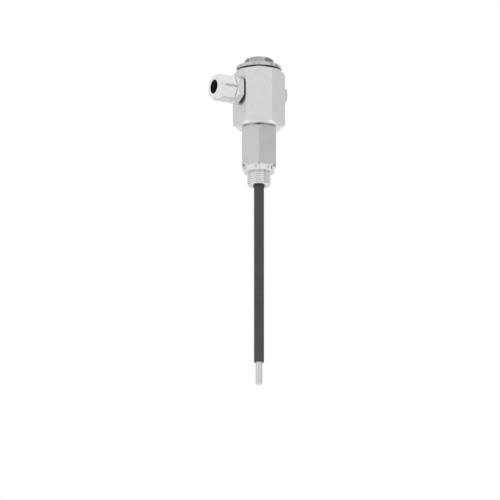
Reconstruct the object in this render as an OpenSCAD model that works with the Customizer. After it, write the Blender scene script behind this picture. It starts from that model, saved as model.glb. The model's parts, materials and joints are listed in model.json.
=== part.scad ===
// Conductive level probe: hexagonal terminal head, hexagonal neck with a G 1/2 thread,
// and one insulated electrode rod. Millimetres, +Z up the rod towards the head.
// The origin lies on the rod's axis in the sealing face under the collar.

/* [Process connection] */
// Major diameter of the process thread (G 1/2)
thread_d = 20.955; // [16:0.001:24]
// Length of the process thread below the sealing face
thread_l = 11.8; // [9:0.1:20]
// Chamfer at the end of the thread
thread_chamfer = 1; // [0.5:0.1:2]
// Diameter of the undercut between thread and collar
undercut_d = 19.2; // [17:0.1:19.4]
// Height of the undercut
undercut_h = 1.3; // [0.8:0.1:3]
// Diameter of the turned sealing collar
collar_d = 28.2; // [26:0.2:29.6]
// Height of the turned sealing collar
collar_h = 4.4; // [3:0.1:9]
// Width across flats of the neck hexagon
neck_af = 30; // [28:1:34]
// Height of the neck hexagon
neck_h = 36.6; // [30:0.1:60]
// Radius of the round lower face of the neck hexagon
neck_face_r = 14.3; // [14.2:0.1:15]
// Diameter of the threaded spigot that screws into the head
spigot_d = 24; // [22:1:26]
// Length of the threaded spigot
spigot_l = 10; // [8:1:14]

/* [Head] */
// Width across flats of the head hexagon
head_af = 40; // [38:1:44]
// Height of the head
head_h = 51.8; // [46:0.2:70]
// Radius of the head's round top face
top_face_r = 19.4; // [19:0.1:20]
// Radius of the head's round bottom face
bottom_face_r = 19.3; // [18:0.1:20]
// Angle of the head's top chamfer from the horizontal
top_chamfer_angle = 42; // [30:1:50]
// Bore of the wiring chamber
chamber_d = 31; // [29:0.5:32]
// Thickness of the floor under the wiring chamber
floor_t = 6; // [5:0.5:8]

/* [Cover] */
// Major diameter of the cover's thread
cover_thread_d = 33; // [32:0.5:34]
// Pitch of the cover's thread
cover_pitch = 1.5; // [1:0.25:2]
// Length of the cover's threaded skirt below the head's top face
skirt_l = 6.5; // [5:0.5:7]
// Overhang of the cover's rim beyond its thread
rim_overhang = 3.3; // [2:0.1:3.4]
// Height of the cover's rim
rim_h = 3.2; // [2:0.1:5]
// Height of the shallow cone between rim and spanner hexagon
cone_h = 1.5; // [0.5:0.1:3]
// Width across flats of the cover's spanner hexagon
cover_af = 23; // [19:1:27]
// Height of the spanner hexagon
cover_hex_h = 5.6; // [4:0.1:9]
// Turn of the spanner hexagon at rest
cover_turn = 20; // [0:1:59]
// Wall of the cover's skirt and crown
cover_wall = 3; // [2:0.5:4]
// Thickness of the flat seal under the cover
gasket_t = 1; // [0.6:0.1:2]

/* [Cable gland] */
// Drop of the gland's and plug's axis below the head's top face
port_drop = 20.2; // [17.5:0.1:26]
// Major diameter of the gland's thread (M20)
gland_thread_d = 20; // [18:1:20]
// Thickness of the flat seal under the gland
gland_seal_t = 2; // [0.8:0.1:2.4]
// Diameter of the flat seal under the gland
gland_seal_d = 23.5; // [22.5:0.5:26]
// Width across flats of the gland body
gland_af = 24; // [23:1:27]
// Thickness of the gland body's hexagon
gland_hex_t = 6; // [5:0.1:9]
// Length of the gland's thread into the head
gland_entry_l = 8; // [7:0.5:9]
// Length of the gland body's thread under the cap nut
gland_tail_l = 9.5; // [8:0.5:12]
// Width across flats of the cap nut
cap_af = 22; // [22:0.5:26]
// Length of the cap nut
cap_l = 17.5; // [14:0.1:22]
// Length of the cap nut's rounded nose
cap_nose_l = 4.2; // [3:0.2:12]
// Radius of the flat end of the nose
cap_end_r = 9.2; // [7.2:0.1:10]
// Cable hole in the cap nut
cap_hole_d = 12.5; // [11.5:0.1:13]
// Bore of the sealing insert, for the thickest cable
cable_d = 12; // [8:0.1:12]

/* [Blanking plug] */
// Major diameter of the plug's thread (M12)
plug_thread_d = 12; // [10:1:14]
// Length of the plug's thread
plug_shank_l = 6.5; // [5:0.5:7]
// Width across flats of the plug's head
plug_af = 18; // [14:1:20]
// Thickness of the plug's head
plug_head_t = 2.9; // [2:0.1:6]
// Thickness of the plug's sealing ring
plug_seal_t = 1; // [0.8:0.1:2]

/* [Electrode] */
// Diameter of the steel rod
rod_d = 6; // [5:0.5:6.5]
// Depth of the rod's tip below the sealing face
rod_depth = 192; // [100:1:1500]
// Length of bare rod at the tip
bare_tip_l = 20; // [10:1:60]
// Outside diameter of the rod's insulating sleeve
sleeve_d = 9; // [7.6:0.1:9.2]
// Outside diameter of the insulating bush below the thread
bush_d = 10.4; // [10.2:0.1:11]
// Length of the bush that shows below the thread
bush_show = 1; // [0.5:0.1:4]

/* [Inner seals] */
// Bore of the stuffing box in the neck
box_d = 16; // [14:0.5:17]
// Depth of the stuffing box below the spigot's top
box_depth = 42.6; // [39:0.2:46]
// Thickness of one packing ring
packing_t = 3; // [2:0.5:4]
// Diameter of the thrust collar on the rod
rod_collar_d = 11; // [9:0.5:12]
// Thickness of the thrust collar
rod_collar_t = 2.5; // [2:0.5:4]
// Thickness of the follower bush's flange
follower_t = 7; // [5:0.5:9]
// Thickness of the steel thrust washer
thrust_washer_t = 1.5; // [1:0.5:2.5]
// Thickness of a disc spring's plate
spring_t = 1; // [0.8:0.1:1.4]
// Cone height of a disc spring
spring_cone = 1.1; // [0.6:0.1:1.6]
// Length of the compression screw
screw_l = 13; // [10:1:14]

/* [Terminals] */
// Thickness of the terminal carrier's disc
carrier_t = 4; // [3:0.5:5]
// Width across flats of the rod's nuts
rod_nut_af = 10; // [9:0.5:11]
// Thickness of the rod's nuts
rod_nut_t = 5; // [4:0.5:6]
// Width of the terminal block
block_w = 12; // [10:0.5:12.5]
// Depth of the terminal block
block_d = 6.5; // [5.5:0.5:6.5]
// Height of the terminal block
block_h = 9; // [8:0.5:10]
// Diameter of the lead from the rod to the terminal block
lead_d = 1.8; // [1.4:0.1:2.2]

/* [Hidden] */

$fn = 96;
// Clearance per side of a screw thread, drawn as plain cylinders
thread_gap = 0.05;
// Clearance per side between seated inner pieces
fit_gap = 0.05;
// Clearance per side of the insulating pieces on the rod
rod_gap = 0.02;
// Clearance per side of washers and the lug on the rod
washer_gap = 0.05;
// Overshoot of a cutting shape
eps = 1;
// Angle of a hexagon's turned end chamfer from the horizontal, where no other is stated
common_chamfer_angle = 30;
// Amount by which a chamfer's outer radius passes a hexagon's corners
corner_pass = 0.01;

// Heights along the rod
neck_z = collar_h;
head_z = neck_z + neck_h;
top_z = head_z + head_h;
spigot_top_z = head_z + spigot_l;
socket_gap = 1;
socket_top_z = spigot_top_z + socket_gap;
floor_z = socket_top_z + floor_t;
port_z = top_z - port_drop;
rim_z = top_z + gasket_t;
cone_z = rim_z + rim_h;
cover_hex_z = cone_z + cone_h;
cover_d = cover_thread_d + 2 * rim_overhang;
cover_thread_z = top_z - skirt_l - cover_pitch;

// Places along the ports' axis
face_x = head_af / 2;
gland_face_x = -(face_x + gland_seal_t);
gland_shoulder_x = gland_face_x - gland_hex_t;
cap_gap = 0.4;
cap_start_x = gland_shoulder_x - cap_gap;
cap_end_x = cap_start_x - cap_l;
plug_face_x = face_x + plug_seal_t;

// Seat of the O-ring between neck and head
o_ring_section = 2;
o_ring_side_play = 0.2;
o_ring_seat_d = spigot_d + 2;
o_ring_groove_d = o_ring_seat_d - 2 * o_ring_section;
o_ring_seat_h = o_ring_section + o_ring_side_play;

// Seat of the clamping cage and the seal between gland body and cap nut
insert_seat_d = 17.2;
cage_play = 0.2;
cage_d = insert_seat_d - cage_play;
cage_bore_d = cable_d + 2.6;
insert_l = 7.5;
cap_thread_l = 9.8;
cap_throat_l = 2.4;
cage_start_x = cap_end_x + cap_throat_l + fit_gap + insert_l;
seal_lip = 0.4;
seal_start_x = cage_start_x + seal_lip;

// Stack inside the neck
box_floor = spigot_top_z - box_depth;
bush_flange_t = 3;
sleeve_seat_z = box_floor - 2;
packing_z = box_floor + bush_flange_t;
rod_collar_z = packing_z + 3 * packing_t;
follower_top_z = rod_collar_z + follower_t;
spring_z = follower_top_z + thrust_washer_t;
screw_z = spring_z + 2 * (spring_t + spring_cone);
screw_top_z = screw_z + screw_l;
tube_d = 10;
tube_top_z = floor_z - 3;
floor_hole_play = 0.6;
floor_hole_d = box_d + floor_hole_play;

// Stack on the rod above the chamber floor
carrier_z = floor_z;
carrier_top_z = carrier_z + carrier_t;
rod_washer_t = 1;
lug_t = 0.8;
rod_nut_z = carrier_top_z + rod_washer_t;
lug_z = rod_nut_z + rod_nut_t;
terminal_washer_z = lug_z + lug_t;
terminal_nut_z = terminal_washer_z + rod_washer_t;
rod_end_show = 1.5;
rod_top_z = terminal_nut_z + rod_nut_t + rod_end_show;
carrier_d = chamber_d - 2;
washer_d = 12;

// Terminal block
block_y = 7;
block_top_z = carrier_top_z + block_h;
cell_w = 4;
cell_gap = 1.2;
cell_floor = 1.2;
clamp_t = 1.6;
wire_play = 0.6;
wire_hole_z = carrier_top_z + 3;
clamp_z = wire_hole_z + (lead_d + wire_play) / 2;

// Small screws
carrier_screw_d = 3;
carrier_screw_l = 3.5;
carrier_screw_r = 11;
carrier_screw_angle = 20;
earth_screw_d = 4;
earth_screw_l = 4;
earth_washer_d = 8;
earth_y = -10.9;
carrier_cut_y = -6.8;

// Lug and lead
lug_eye_d = 10;
lug_barrel_l = 5;
lug_barrel_d = 3.2;
lug_barrel_x = lug_eye_d / 2 + 1.2;
lug_barrel_z = lug_z + lug_barrel_d / 2;
lead_steps = 16;
lead_start = [lug_barrel_x + lug_barrel_l, 0, lug_barrel_z];
lead_end = [block_w / 2 - 2, block_y + block_d / 2, wire_hole_z];
lead_pull_start = lead_start + [2.2, 0, 0];
lead_pull_end = lead_end + [8, 0, 0];

// Hexagonal bar standing on the XY plane, a corner on the +X axis
module hex_bar(af, h) {
    cylinder(h = h, d = af / cos(30), $fn = 6);
}

// Solid of revolution that chamfers both ends of a bar from face radii r1 below and r2 above
module chamfer_envelope(h, r1, r2, r_max, angle1 = common_chamfer_angle, angle2 = common_chamfer_angle) {
    rotate_extrude()
        polygon([
            [0, 0], [r1, 0], [r_max, (r_max - r1) * tan(angle1)],
            [r_max, h - (r_max - r2) * tan(angle2)], [r2, h], [0, h]
        ]);
}

// Flat ring standing on the XY plane
module ring(d_out, d_in, h) {
    difference() {
        cylinder(h = h, d = d_out);
        translate([0, 0, -eps]) cylinder(h = h + 2 * eps, d = d_in);
    }
}

// Turns a child that points along +Z to point along -X from a start plane
module along_minus_x(start_x) {
    translate([start_x, 0, port_z]) rotate([0, -90, 0]) children();
}

// Turns a child that points along +Z to point along +X from a start plane
module along_plus_x(start_x) {
    translate([start_x, 0, port_z]) rotate([0, 90, 0]) children();
}

// Hexagonal head, bored from the top for the chamber and from below for the neck
module housing() {
    corner_r = head_af / 2 / cos(30);
    color("silver") difference() {
        intersection() {
            translate([0, 0, head_z]) rotate(30) hex_bar(head_af, head_h);
            translate([0, 0, head_z]) chamfer_envelope(
                head_h, bottom_face_r, top_face_r, corner_r + corner_pass, angle2 = top_chamfer_angle);
        }
        translate([0, 0, floor_z]) cylinder(h = top_z - floor_z + eps, d = chamber_d);
        translate([0, 0, cover_thread_z]) cylinder(h = top_z - cover_thread_z + eps, d = cover_thread_d);
        translate([0, 0, head_z - eps]) cylinder(h = socket_top_z - head_z + eps, d = spigot_d);
        translate([0, 0, head_z - eps]) cylinder(h = eps + o_ring_seat_h, d = o_ring_seat_d);
        translate([0, 0, socket_top_z - eps]) cylinder(h = floor_t + 2 * eps, d = floor_hole_d);
        along_minus_x(0) cylinder(h = head_af, d = gland_thread_d);
        along_plus_x(0) cylinder(h = head_af, d = plug_thread_d);
        for (side = [-1, 1]) {
            carrier_screw_place(side) translate([0, 0, -carrier_screw_l])
                cylinder(h = carrier_screw_l + eps, d = carrier_screw_d);
        }
        translate([0, earth_y, floor_z - earth_screw_l]) cylinder(h = earth_screw_l + eps, d = earth_screw_d);
    }
}

// One turned piece: thread, collar, neck hexagon and the spigot that enters the head.
// The undercut also relieves the sealing face, so that a flat ring seats on it over the thread.
module process_connection() {
    thread_r = thread_d / 2;
    collar_r = collar_d / 2;
    collar_chamfer = 0.9;
    relief_h = 0.3;
    relief_gap = 0.25;
    spigot_r = spigot_d / 2 - thread_gap;
    groove_r = o_ring_groove_d / 2;
    spigot_chamfer = 1;
    neck_corner_r = neck_af / 2 / cos(30);
    color("silver") difference() {
        union() {
            rotate_extrude() polygon([
                [0, -thread_l], [thread_r - thread_chamfer, -thread_l],
                [thread_r, -thread_l + thread_chamfer], [thread_r, -undercut_h],
                [undercut_d / 2, -undercut_h], [undercut_d / 2, relief_h],
                [thread_r + relief_gap, relief_h], [thread_r + relief_gap, 0],
                [collar_r - collar_chamfer, 0], [collar_r, collar_chamfer],
                [collar_r, neck_z + neck_h / 2], [0, neck_z + neck_h / 2]
            ]);
            translate([0, 0, neck_z]) intersection() {
                hex_bar(neck_af, neck_h);
                chamfer_envelope(neck_h, neck_face_r, neck_corner_r, neck_corner_r + corner_pass);
            }
            rotate_extrude() polygon([
                [0, head_z - eps], [groove_r, head_z - eps], [groove_r, head_z + o_ring_seat_h],
                [spigot_r, head_z + o_ring_seat_h], [spigot_r, spigot_top_z - spigot_chamfer],
                [spigot_r - spigot_chamfer, spigot_top_z], [0, spigot_top_z]
            ]);
        }
        translate([0, 0, -thread_l - eps]) cylinder(h = thread_l + box_floor + 2 * eps, d = bush_d);
        translate([0, 0, box_floor]) cylinder(h = spigot_top_z - box_floor + eps, d = box_d);
    }
}

// Rubber ring squeezed between the neck's spigot and the head
module neck_o_ring() {
    ring_r = (o_ring_seat_d + o_ring_groove_d) / 4;
    section_r = o_ring_section / 2 - fit_gap / 2;
    color("black") translate([0, 0, head_z + section_r + fit_gap])
        rotate_extrude() translate([ring_r, 0]) circle(r = section_r);
}

// Flat seal between head and cover, kept on the cover's skirt
module cover_gasket() {
    rim_inset = 0.4;
    color("black") translate([0, 0, top_z])
        ring(cover_d - 2 * rim_inset, cover_thread_d + 2 * thread_gap, gasket_t);
}

// Screw cover: threaded skirt, rim, shallow cone and spanner hexagon, hollow below
module cover() {
    rim_r = cover_d / 2;
    rim_edge = 0.4;
    skirt_r = cover_thread_d / 2 - thread_gap;
    recess_r = skirt_r - cover_wall;
    skirt_chamfer = 0.8;
    skirt_z = top_z - skirt_l;
    hex_corner_r = cover_af / 2 / cos(30);
    hex_ledge = 0.3;
    hex_face_inset = 0.8;
    hex_chamfer_angle = 35;
    hex_total_h = cone_h + cover_hex_h;
    color("gainsboro") difference() {
        union() {
            rotate_extrude() polygon([
                [0, skirt_z], [skirt_r - skirt_chamfer, skirt_z], [skirt_r, skirt_z + skirt_chamfer],
                [skirt_r, rim_z], [rim_r, rim_z], [rim_r, cone_z - rim_edge],
                [rim_r - rim_edge, cone_z], [hex_corner_r - hex_ledge, cover_hex_z], [0, cover_hex_z]
            ]);
            translate([0, 0, cone_z]) intersection() {
                rotate(cover_turn) hex_bar(cover_af, hex_total_h);
                chamfer_envelope(
                    hex_total_h, hex_corner_r, cover_af / 2 - hex_face_inset, hex_corner_r + corner_pass,
                    angle2 = hex_chamfer_angle);
            }
        }
        translate([0, 0, skirt_z - eps]) cylinder(h = cone_z - skirt_z + eps, r = recess_r);
    }
}

// Flat seal between gland and head
module gland_washer() {
    bore_gap = 0.2;
    color("black") along_minus_x(-face_x) ring(gland_seal_d, gland_thread_d + 2 * bore_gap, gland_seal_t);
}

// Gland body: threaded entry, hexagon and the threaded tail that carries the cap nut
module gland_body() {
    thread_r = gland_thread_d / 2 - thread_gap;
    corner_r = gland_af / 2 / cos(30);
    face_inset = 0.2;
    bore_gap = 0.4;
    tail_chamfer = 0.8;
    color("lightgray") difference() {
        union() {
            intersection() {
                along_minus_x(gland_face_x) hex_bar(gland_af, gland_hex_t);
                along_minus_x(gland_face_x)
                    chamfer_envelope(gland_hex_t, corner_r, gland_af / 2 - face_inset, corner_r + corner_pass);
            }
            along_plus_x(gland_face_x - eps) cylinder(h = gland_entry_l + eps, r = thread_r);
            along_minus_x(gland_shoulder_x - gland_tail_l + tail_chamfer)
                cylinder(h = tail_chamfer, r1 = thread_r, r2 = thread_r - tail_chamfer);
            along_minus_x(gland_shoulder_x + eps)
                cylinder(h = gland_tail_l - tail_chamfer + eps, r = thread_r);
        }
        along_minus_x(seal_start_x + fit_gap) cylinder(h = gland_tail_l, d = insert_seat_d);
        along_minus_x(0) cylinder(h = gland_tail_l - gland_shoulder_x, d = cable_d + 2 * bore_gap);
    }
}

// Moulded clamping cage, with fingers that the cap nut squeezes onto the seal
module gland_cage() {
    finger_l = 4.6;
    finger_count = 8;
    finger_taper_l = 2.2;
    finger_taper = 1;
    slot_w = 1.2;
    color("black") along_minus_x(cage_start_x) difference() {
        rotate_extrude() polygon([
            [cage_bore_d / 2, 0], [cage_d / 2, 0], [cage_d / 2, insert_l - finger_taper_l],
            [cage_d / 2 - finger_taper, insert_l], [cage_bore_d / 2, insert_l]
        ]);
        for (i = [0:finger_count - 1])
            rotate(i * 360 / finger_count) translate([0, -slot_w / 2, insert_l - finger_l])
                cube([cage_d, slot_w, finger_l + eps]);
    }
}

// Rubber sealing insert inside the cage
module gland_seal() {
    color("black") along_minus_x(seal_start_x) ring(cage_bore_d - 2 * fit_gap, cable_d, insert_l + seal_lip);
}

// Domed cap nut: spanner flats that run out in an elliptical nose
module gland_cap_nut() {
    corner_turned_off = 0.4;
    corner_r = cap_af / 2 / cos(30) - corner_turned_off;
    thread_r = gland_thread_d / 2;
    nose_start = cap_l - cap_nose_l;
    end_angle = acos(cap_end_r / corner_r);
    nose_half_axis = cap_nose_l / sin(end_angle);
    steps = 14;
    lead_in = 0.6;
    seat_gap = 0.4;
    seat_end_gap = 0.1;
    color("lightgray") along_minus_x(cap_start_x) difference() {
        intersection() {
            rotate(30) hex_bar(cap_af, cap_l);
            rotate_extrude() polygon(concat(
                [[0, 0], [corner_r - lead_in, 0], [corner_r, lead_in]],
                [for (i = [0:steps]) let (a = i * end_angle / steps)
                    [corner_r * cos(a), nose_start + nose_half_axis * sin(a)]],
                [[0, cap_l]]
            ));
        }
        translate([0, 0, -eps]) cylinder(h = cap_thread_l + eps, r = thread_r);
        translate([0, 0, cap_thread_l - eps / 2]) cylinder(
            h = cap_l - cap_thread_l - cap_throat_l + eps / 2,
            d1 = insert_seat_d + 2 * seat_gap, d2 = insert_seat_d + 2 * seat_end_gap);
        translate([0, 0, -eps]) cylinder(h = cap_l + 2 * eps, d = cap_hole_d);
    }
}

// Sealing ring under the plug's head
module plug_seal() {
    color("dimgray") along_plus_x(face_x) ring(plug_af, plug_thread_d + 2 * thread_gap, plug_seal_t);
}

// Hexagon-headed screw plug that closes the spare port
module blanking_plug() {
    corner_r = plug_af / 2 / cos(30);
    face_inset = 0.2;
    shank_r = plug_thread_d / 2 - thread_gap;
    shank_chamfer = 0.7;
    shank_total_l = plug_shank_l + plug_seal_t;
    color("silver") union() {
        intersection() {
            along_plus_x(plug_face_x) hex_bar(plug_af, plug_head_t);
            along_plus_x(plug_face_x)
                chamfer_envelope(plug_head_t, corner_r, plug_af / 2 - face_inset, corner_r + corner_pass);
        }
        along_minus_x(plug_face_x + eps) cylinder(h = shank_total_l + eps - shank_chamfer, r = shank_r);
        along_minus_x(plug_face_x - shank_total_l + shank_chamfer)
            cylinder(h = shank_chamfer, r1 = shank_r, r2 = shank_r - shank_chamfer);
    }
}

// Steel rod with its thrust collar
module electrode_rod() {
    rod_r = rod_d / 2;
    tip = 0.6;
    color("dimgray") rotate_extrude() polygon([
        [0, -rod_depth], [rod_r - tip, -rod_depth], [rod_r, -rod_depth + tip], [rod_r, rod_collar_z],
        [rod_collar_d / 2, rod_collar_z], [rod_collar_d / 2, rod_collar_z + rod_collar_t],
        [rod_r, rod_collar_z + rod_collar_t], [rod_r, rod_top_z - tip], [rod_r - tip, rod_top_z],
        [0, rod_top_z]
    ]);
}

// Insulating sleeve over the rod, from above the tip up into the lower bush
module rod_sleeve() {
    color([0.12, 0.12, 0.13]) translate([0, 0, -rod_depth + bare_tip_l])
        ring(sleeve_d, rod_d + 2 * rod_gap, rod_depth - bare_tip_l + sleeve_seat_z - fit_gap);
}

// Insulating bush that carries the rod through the thread
module lower_bush() {
    bush_r = bush_d / 2 - fit_gap;
    edge = 0.3;
    sleeve_gap = 0.03;
    end_z = -thread_l - bush_show;
    color("black") difference() {
        rotate_extrude() polygon([
            [0, end_z], [bush_r - edge, end_z], [bush_r, end_z + edge], [bush_r, box_floor],
            [box_d / 2 - fit_gap, box_floor], [box_d / 2 - fit_gap, packing_z], [0, packing_z]
        ]);
        translate([0, 0, end_z - eps])
            cylinder(h = sleeve_seat_z - end_z + eps, d = sleeve_d + 2 * sleeve_gap);
        translate([0, 0, end_z - eps]) cylinder(h = packing_z - end_z + 2 * eps, d = rod_d + 2 * rod_gap);
    }
}

// One chevron packing ring of the stuffing box, its ridge upwards
module packing_ring(place) {
    ridge = 0.8;
    mid_r = (box_d + rod_d) / 4;
    z = packing_z + place * packing_t;
    inner_r = rod_d / 2 + rod_gap;
    outer_r = box_d / 2 - fit_gap;
    low = place == 0 ? 0 : ridge;
    high = place == 2 ? 0 : ridge;
    color("white") rotate_extrude() polygon([
        [inner_r, z], [mid_r, z + low], [outer_r, z],
        [outer_r, z + packing_t], [mid_r, z + packing_t + high], [inner_r, z + packing_t]
    ]);
}

module packing_ring_lower() {
    packing_ring(0);
}

module packing_ring_middle() {
    packing_ring(1);
}

module packing_ring_upper() {
    packing_ring(2);
}

// Insulating bush that presses the packing and keeps the rod clear of the steel above
module follower_bush() {
    color("ivory") difference() {
        rotate_extrude() polygon([
            [0, rod_collar_z], [box_d / 2 - fit_gap, rod_collar_z], [box_d / 2 - fit_gap, follower_top_z],
            [tube_d / 2, follower_top_z], [tube_d / 2, tube_top_z], [0, tube_top_z]
        ]);
        translate([0, 0, rod_collar_z - eps])
            cylinder(h = rod_collar_t + eps, d = rod_collar_d + 2 * rod_gap);
        translate([0, 0, rod_collar_z - eps])
            cylinder(h = tube_top_z - rod_collar_z + 2 * eps, d = rod_d + 2 * rod_gap);
    }
}

// Steel washer on the follower bush
module thrust_washer() {
    color("silver") translate([0, 0, follower_top_z])
        ring(box_d - 2 * fit_gap, tube_d + 2 * fit_gap, thrust_washer_t);
}

// Disc spring, its inner edge raised by the cone height
module disc_spring() {
    inner_r = tube_d / 2 + fit_gap;
    outer_r = box_d / 2 - fit_gap;
    rotate_extrude() polygon([
        [outer_r, 0], [outer_r, spring_t], [inner_r, spring_t + spring_cone], [inner_r, spring_cone]
    ]);
}

module disc_spring_lower() {
    color("gray") translate([0, 0, spring_z]) disc_spring();
}

module disc_spring_upper() {
    color("gray") translate([0, 0, screw_z]) mirror([0, 0, 1]) disc_spring();
}

// Slotted screw that loads the springs and the packing
module compression_screw() {
    slot_w = 2.5;
    slot_h = 2.5;
    color("silver") translate([0, 0, screw_z]) difference() {
        ring(box_d - 2 * thread_gap, tube_d + 2 * fit_gap, screw_l);
        translate([-box_d, -slot_w / 2, screw_l - slot_h]) cube([2 * box_d, slot_w, slot_h + eps]);
    }
}

// Places a child at a carrier screw on the chamber floor, on side -1 or +1
module carrier_screw_place(side) {
    rotate(side > 0 ? -carrier_screw_angle : 180 + carrier_screw_angle)
        translate([carrier_screw_r, 0, floor_z]) children();
}

// Moulded disc that carries the terminals and closes the rod's hole in the floor
module terminal_carrier() {
    boss_gap = 0.1;
    boss_r = box_d / 2 - boss_gap;
    boss_z = screw_top_z + 2 * boss_gap;
    screw_hole_play = 0.3;
    screw_hole_d = carrier_screw_d + screw_hole_play;
    color("ivory") difference() {
        union() {
            translate([0, 0, carrier_z]) cylinder(h = carrier_t, d = carrier_d);
            translate([0, 0, boss_z]) cylinder(h = carrier_z - boss_z + eps, r = boss_r);
        }
        translate([0, 0, screw_top_z - eps])
            cylinder(h = tube_top_z - screw_top_z + fit_gap + eps, d = tube_d + 2 * fit_gap);
        translate([0, 0, screw_top_z])
            cylinder(h = carrier_top_z - screw_top_z + eps, d = rod_d + 2 * rod_gap);
        translate([-carrier_d, carrier_cut_y - carrier_d, carrier_z])
            cube([2 * carrier_d, carrier_d, carrier_t + eps]);
        for (side = [-1, 1]) {
            carrier_screw_place(side) translate([0, 0, -eps])
                cylinder(h = carrier_t + 2 * eps, d = screw_hole_d);
        }
    }
}

// Two slotted screws that hold the carrier down
module carrier_screws() {
    head_d = 5.4;
    head_h = 1.8;
    slot_w = 0.9;
    slot_h = 1;
    end_gap = 0.5;
    color("silver") for (side = [-1, 1]) carrier_screw_place(side) difference() {
        union() {
            translate([0, 0, -carrier_screw_l + end_gap])
                cylinder(h = carrier_screw_l + carrier_t, d = carrier_screw_d - 2 * thread_gap);
            translate([0, 0, carrier_t]) cylinder(h = head_h, d = head_d);
        }
        translate([-head_d, -slot_w / 2, carrier_t + head_h - slot_h])
            cube([2 * head_d, slot_w, slot_h + eps]);
    }
}

module rod_washer() {
    color("silver") translate([0, 0, carrier_top_z]) ring(washer_d, rod_d + 2 * washer_gap, rod_washer_t);
}

// Hexagon nut with both faces chamfered, threaded on the rod
module nut_on_rod(z) {
    corner_r = rod_nut_af / 2 / cos(30);
    face_inset = 0.1;
    face_r = rod_nut_af / 2 - face_inset;
    translate([0, 0, z]) difference() {
        intersection() {
            hex_bar(rod_nut_af, rod_nut_t);
            chamfer_envelope(rod_nut_t, face_r, face_r, corner_r + corner_pass);
        }
        translate([0, 0, -eps]) cylinder(h = rod_nut_t + 2 * eps, d = rod_d + 2 * rod_gap);
    }
}

module rod_nut() {
    color("silver") nut_on_rod(rod_nut_z);
}

module terminal_nut() {
    color("silver") nut_on_rod(terminal_nut_z);
}

module terminal_washer() {
    color("silver") translate([0, 0, terminal_washer_z])
        ring(rod_nut_af, rod_d + 2 * washer_gap, rod_washer_t);
}

// Crimped ring lug, its barrel along +X
module ring_lug() {
    tongue_w = 5;
    color("gold") difference() {
        union() {
            translate([0, 0, lug_z]) cylinder(h = lug_t, d = lug_eye_d);
            translate([0, -tongue_w / 2, lug_z]) cube([lug_barrel_x + 1, tongue_w, lug_t]);
            translate([lug_barrel_x, 0, lug_barrel_z]) rotate([0, 90, 0])
                cylinder(h = lug_barrel_l, d = lug_barrel_d);
        }
        translate([0, 0, lug_z - eps]) cylinder(h = 3 * eps, d = rod_d + 2 * washer_gap);
    }
}

// Points of a ring of the lead around point p of its curve, square to direction dir
function ring_points(p, dir, sides) =
    let (u = cross([0, 0, 1], dir), un = u / norm(u), v = cross(dir, un))
    [for (k = [0:sides - 1]) p + lead_d / 2 * (cos(k * 360 / sides) * un + sin(k * 360 / sides) * v)];

// Point at share t of the lead's curve, which leaves the barrel and the wire hole along X
function lead_point(t) =
    pow(1 - t, 3) * lead_start + 3 * pow(1 - t, 2) * t * lead_pull_start
    + 3 * (1 - t) * t * t * lead_pull_end + pow(t, 3) * lead_end;

// Direction of the lead's curve at share t
function lead_dir(t) =
    let (
        d = pow(1 - t, 2) * (lead_pull_start - lead_start)
            + 2 * (1 - t) * t * (lead_pull_end - lead_pull_start)
            + t * t * (lead_end - lead_pull_end)
    ) d / norm(d);

// Insulated lead from the lug's barrel to the terminal block
module signal_lead() {
    sides = 8;
    count = lead_steps + 1;
    points = [for (i = [0:lead_steps]) let (t = i / lead_steps)
        each ring_points(lead_point(t), lead_dir(t), sides)];
    walls = [for (i = [0:count - 2], k = [0:sides - 1])
        [i * sides + k, i * sides + (k + 1) % sides, (i + 1) * sides + (k + 1) % sides, (i + 1) * sides + k]];
    first_cap = [for (k = [0:sides - 1]) sides - 1 - k];
    last_cap = [for (k = [0:sides - 1]) (count - 1) * sides + k];
    color("royalblue") polyhedron(points, concat([first_cap], walls, [last_cap]));
}

// Moulded block with two cells, each with a wire hole and a screw well
module terminal_block() {
    color("ivory") difference() {
        translate([-block_w / 2, block_y, carrier_top_z]) cube([block_w, block_d, block_h]);
        for (side = [-1, 1]) {
            x = side * (cell_w + cell_gap) / 2;
            translate([x - cell_w / 2, block_y + cell_gap, carrier_top_z + cell_floor])
                cube([cell_w, block_d - 2 * cell_gap, block_h]);
            translate([x, block_y + block_d / 2, wire_hole_z]) rotate([0, side * 90, 0])
                cylinder(h = block_w, d = lead_d + wire_play);
        }
    }
}

// Brass clamp plates in the cells
module clamp_plates() {
    color("gold") for (side = [-1, 1]) {
        x = side * (cell_w + cell_gap) / 2;
        translate([x - cell_w / 2 + fit_gap, block_y + cell_gap + fit_gap, clamp_z])
            cube([cell_w - 2 * fit_gap, block_d - 2 * cell_gap - 2 * fit_gap, clamp_t]);
    }
}

// Slotted screws over the clamp plates
module terminal_screws() {
    head_d = 3.6;
    head_inset = 0.4;
    slot_w = 0.7;
    slot_h = 0.8;
    z = clamp_z + clamp_t;
    screw_h = block_top_z - z - head_inset;
    color("silver") for (side = [-1, 1])
        translate([side * (cell_w + cell_gap) / 2, block_y + block_d / 2, z]) difference() {
            cylinder(h = screw_h, d = head_d);
            translate([-head_d, -slot_w / 2, screw_h - slot_h]) cube([2 * head_d, slot_w, slot_h + eps]);
        }
}

module earth_washer() {
    hole_gap = 0.15;
    color("silver") translate([0, earth_y, floor_z])
        ring(earth_washer_d, earth_screw_d + 2 * hole_gap, rod_washer_t);
}

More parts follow.
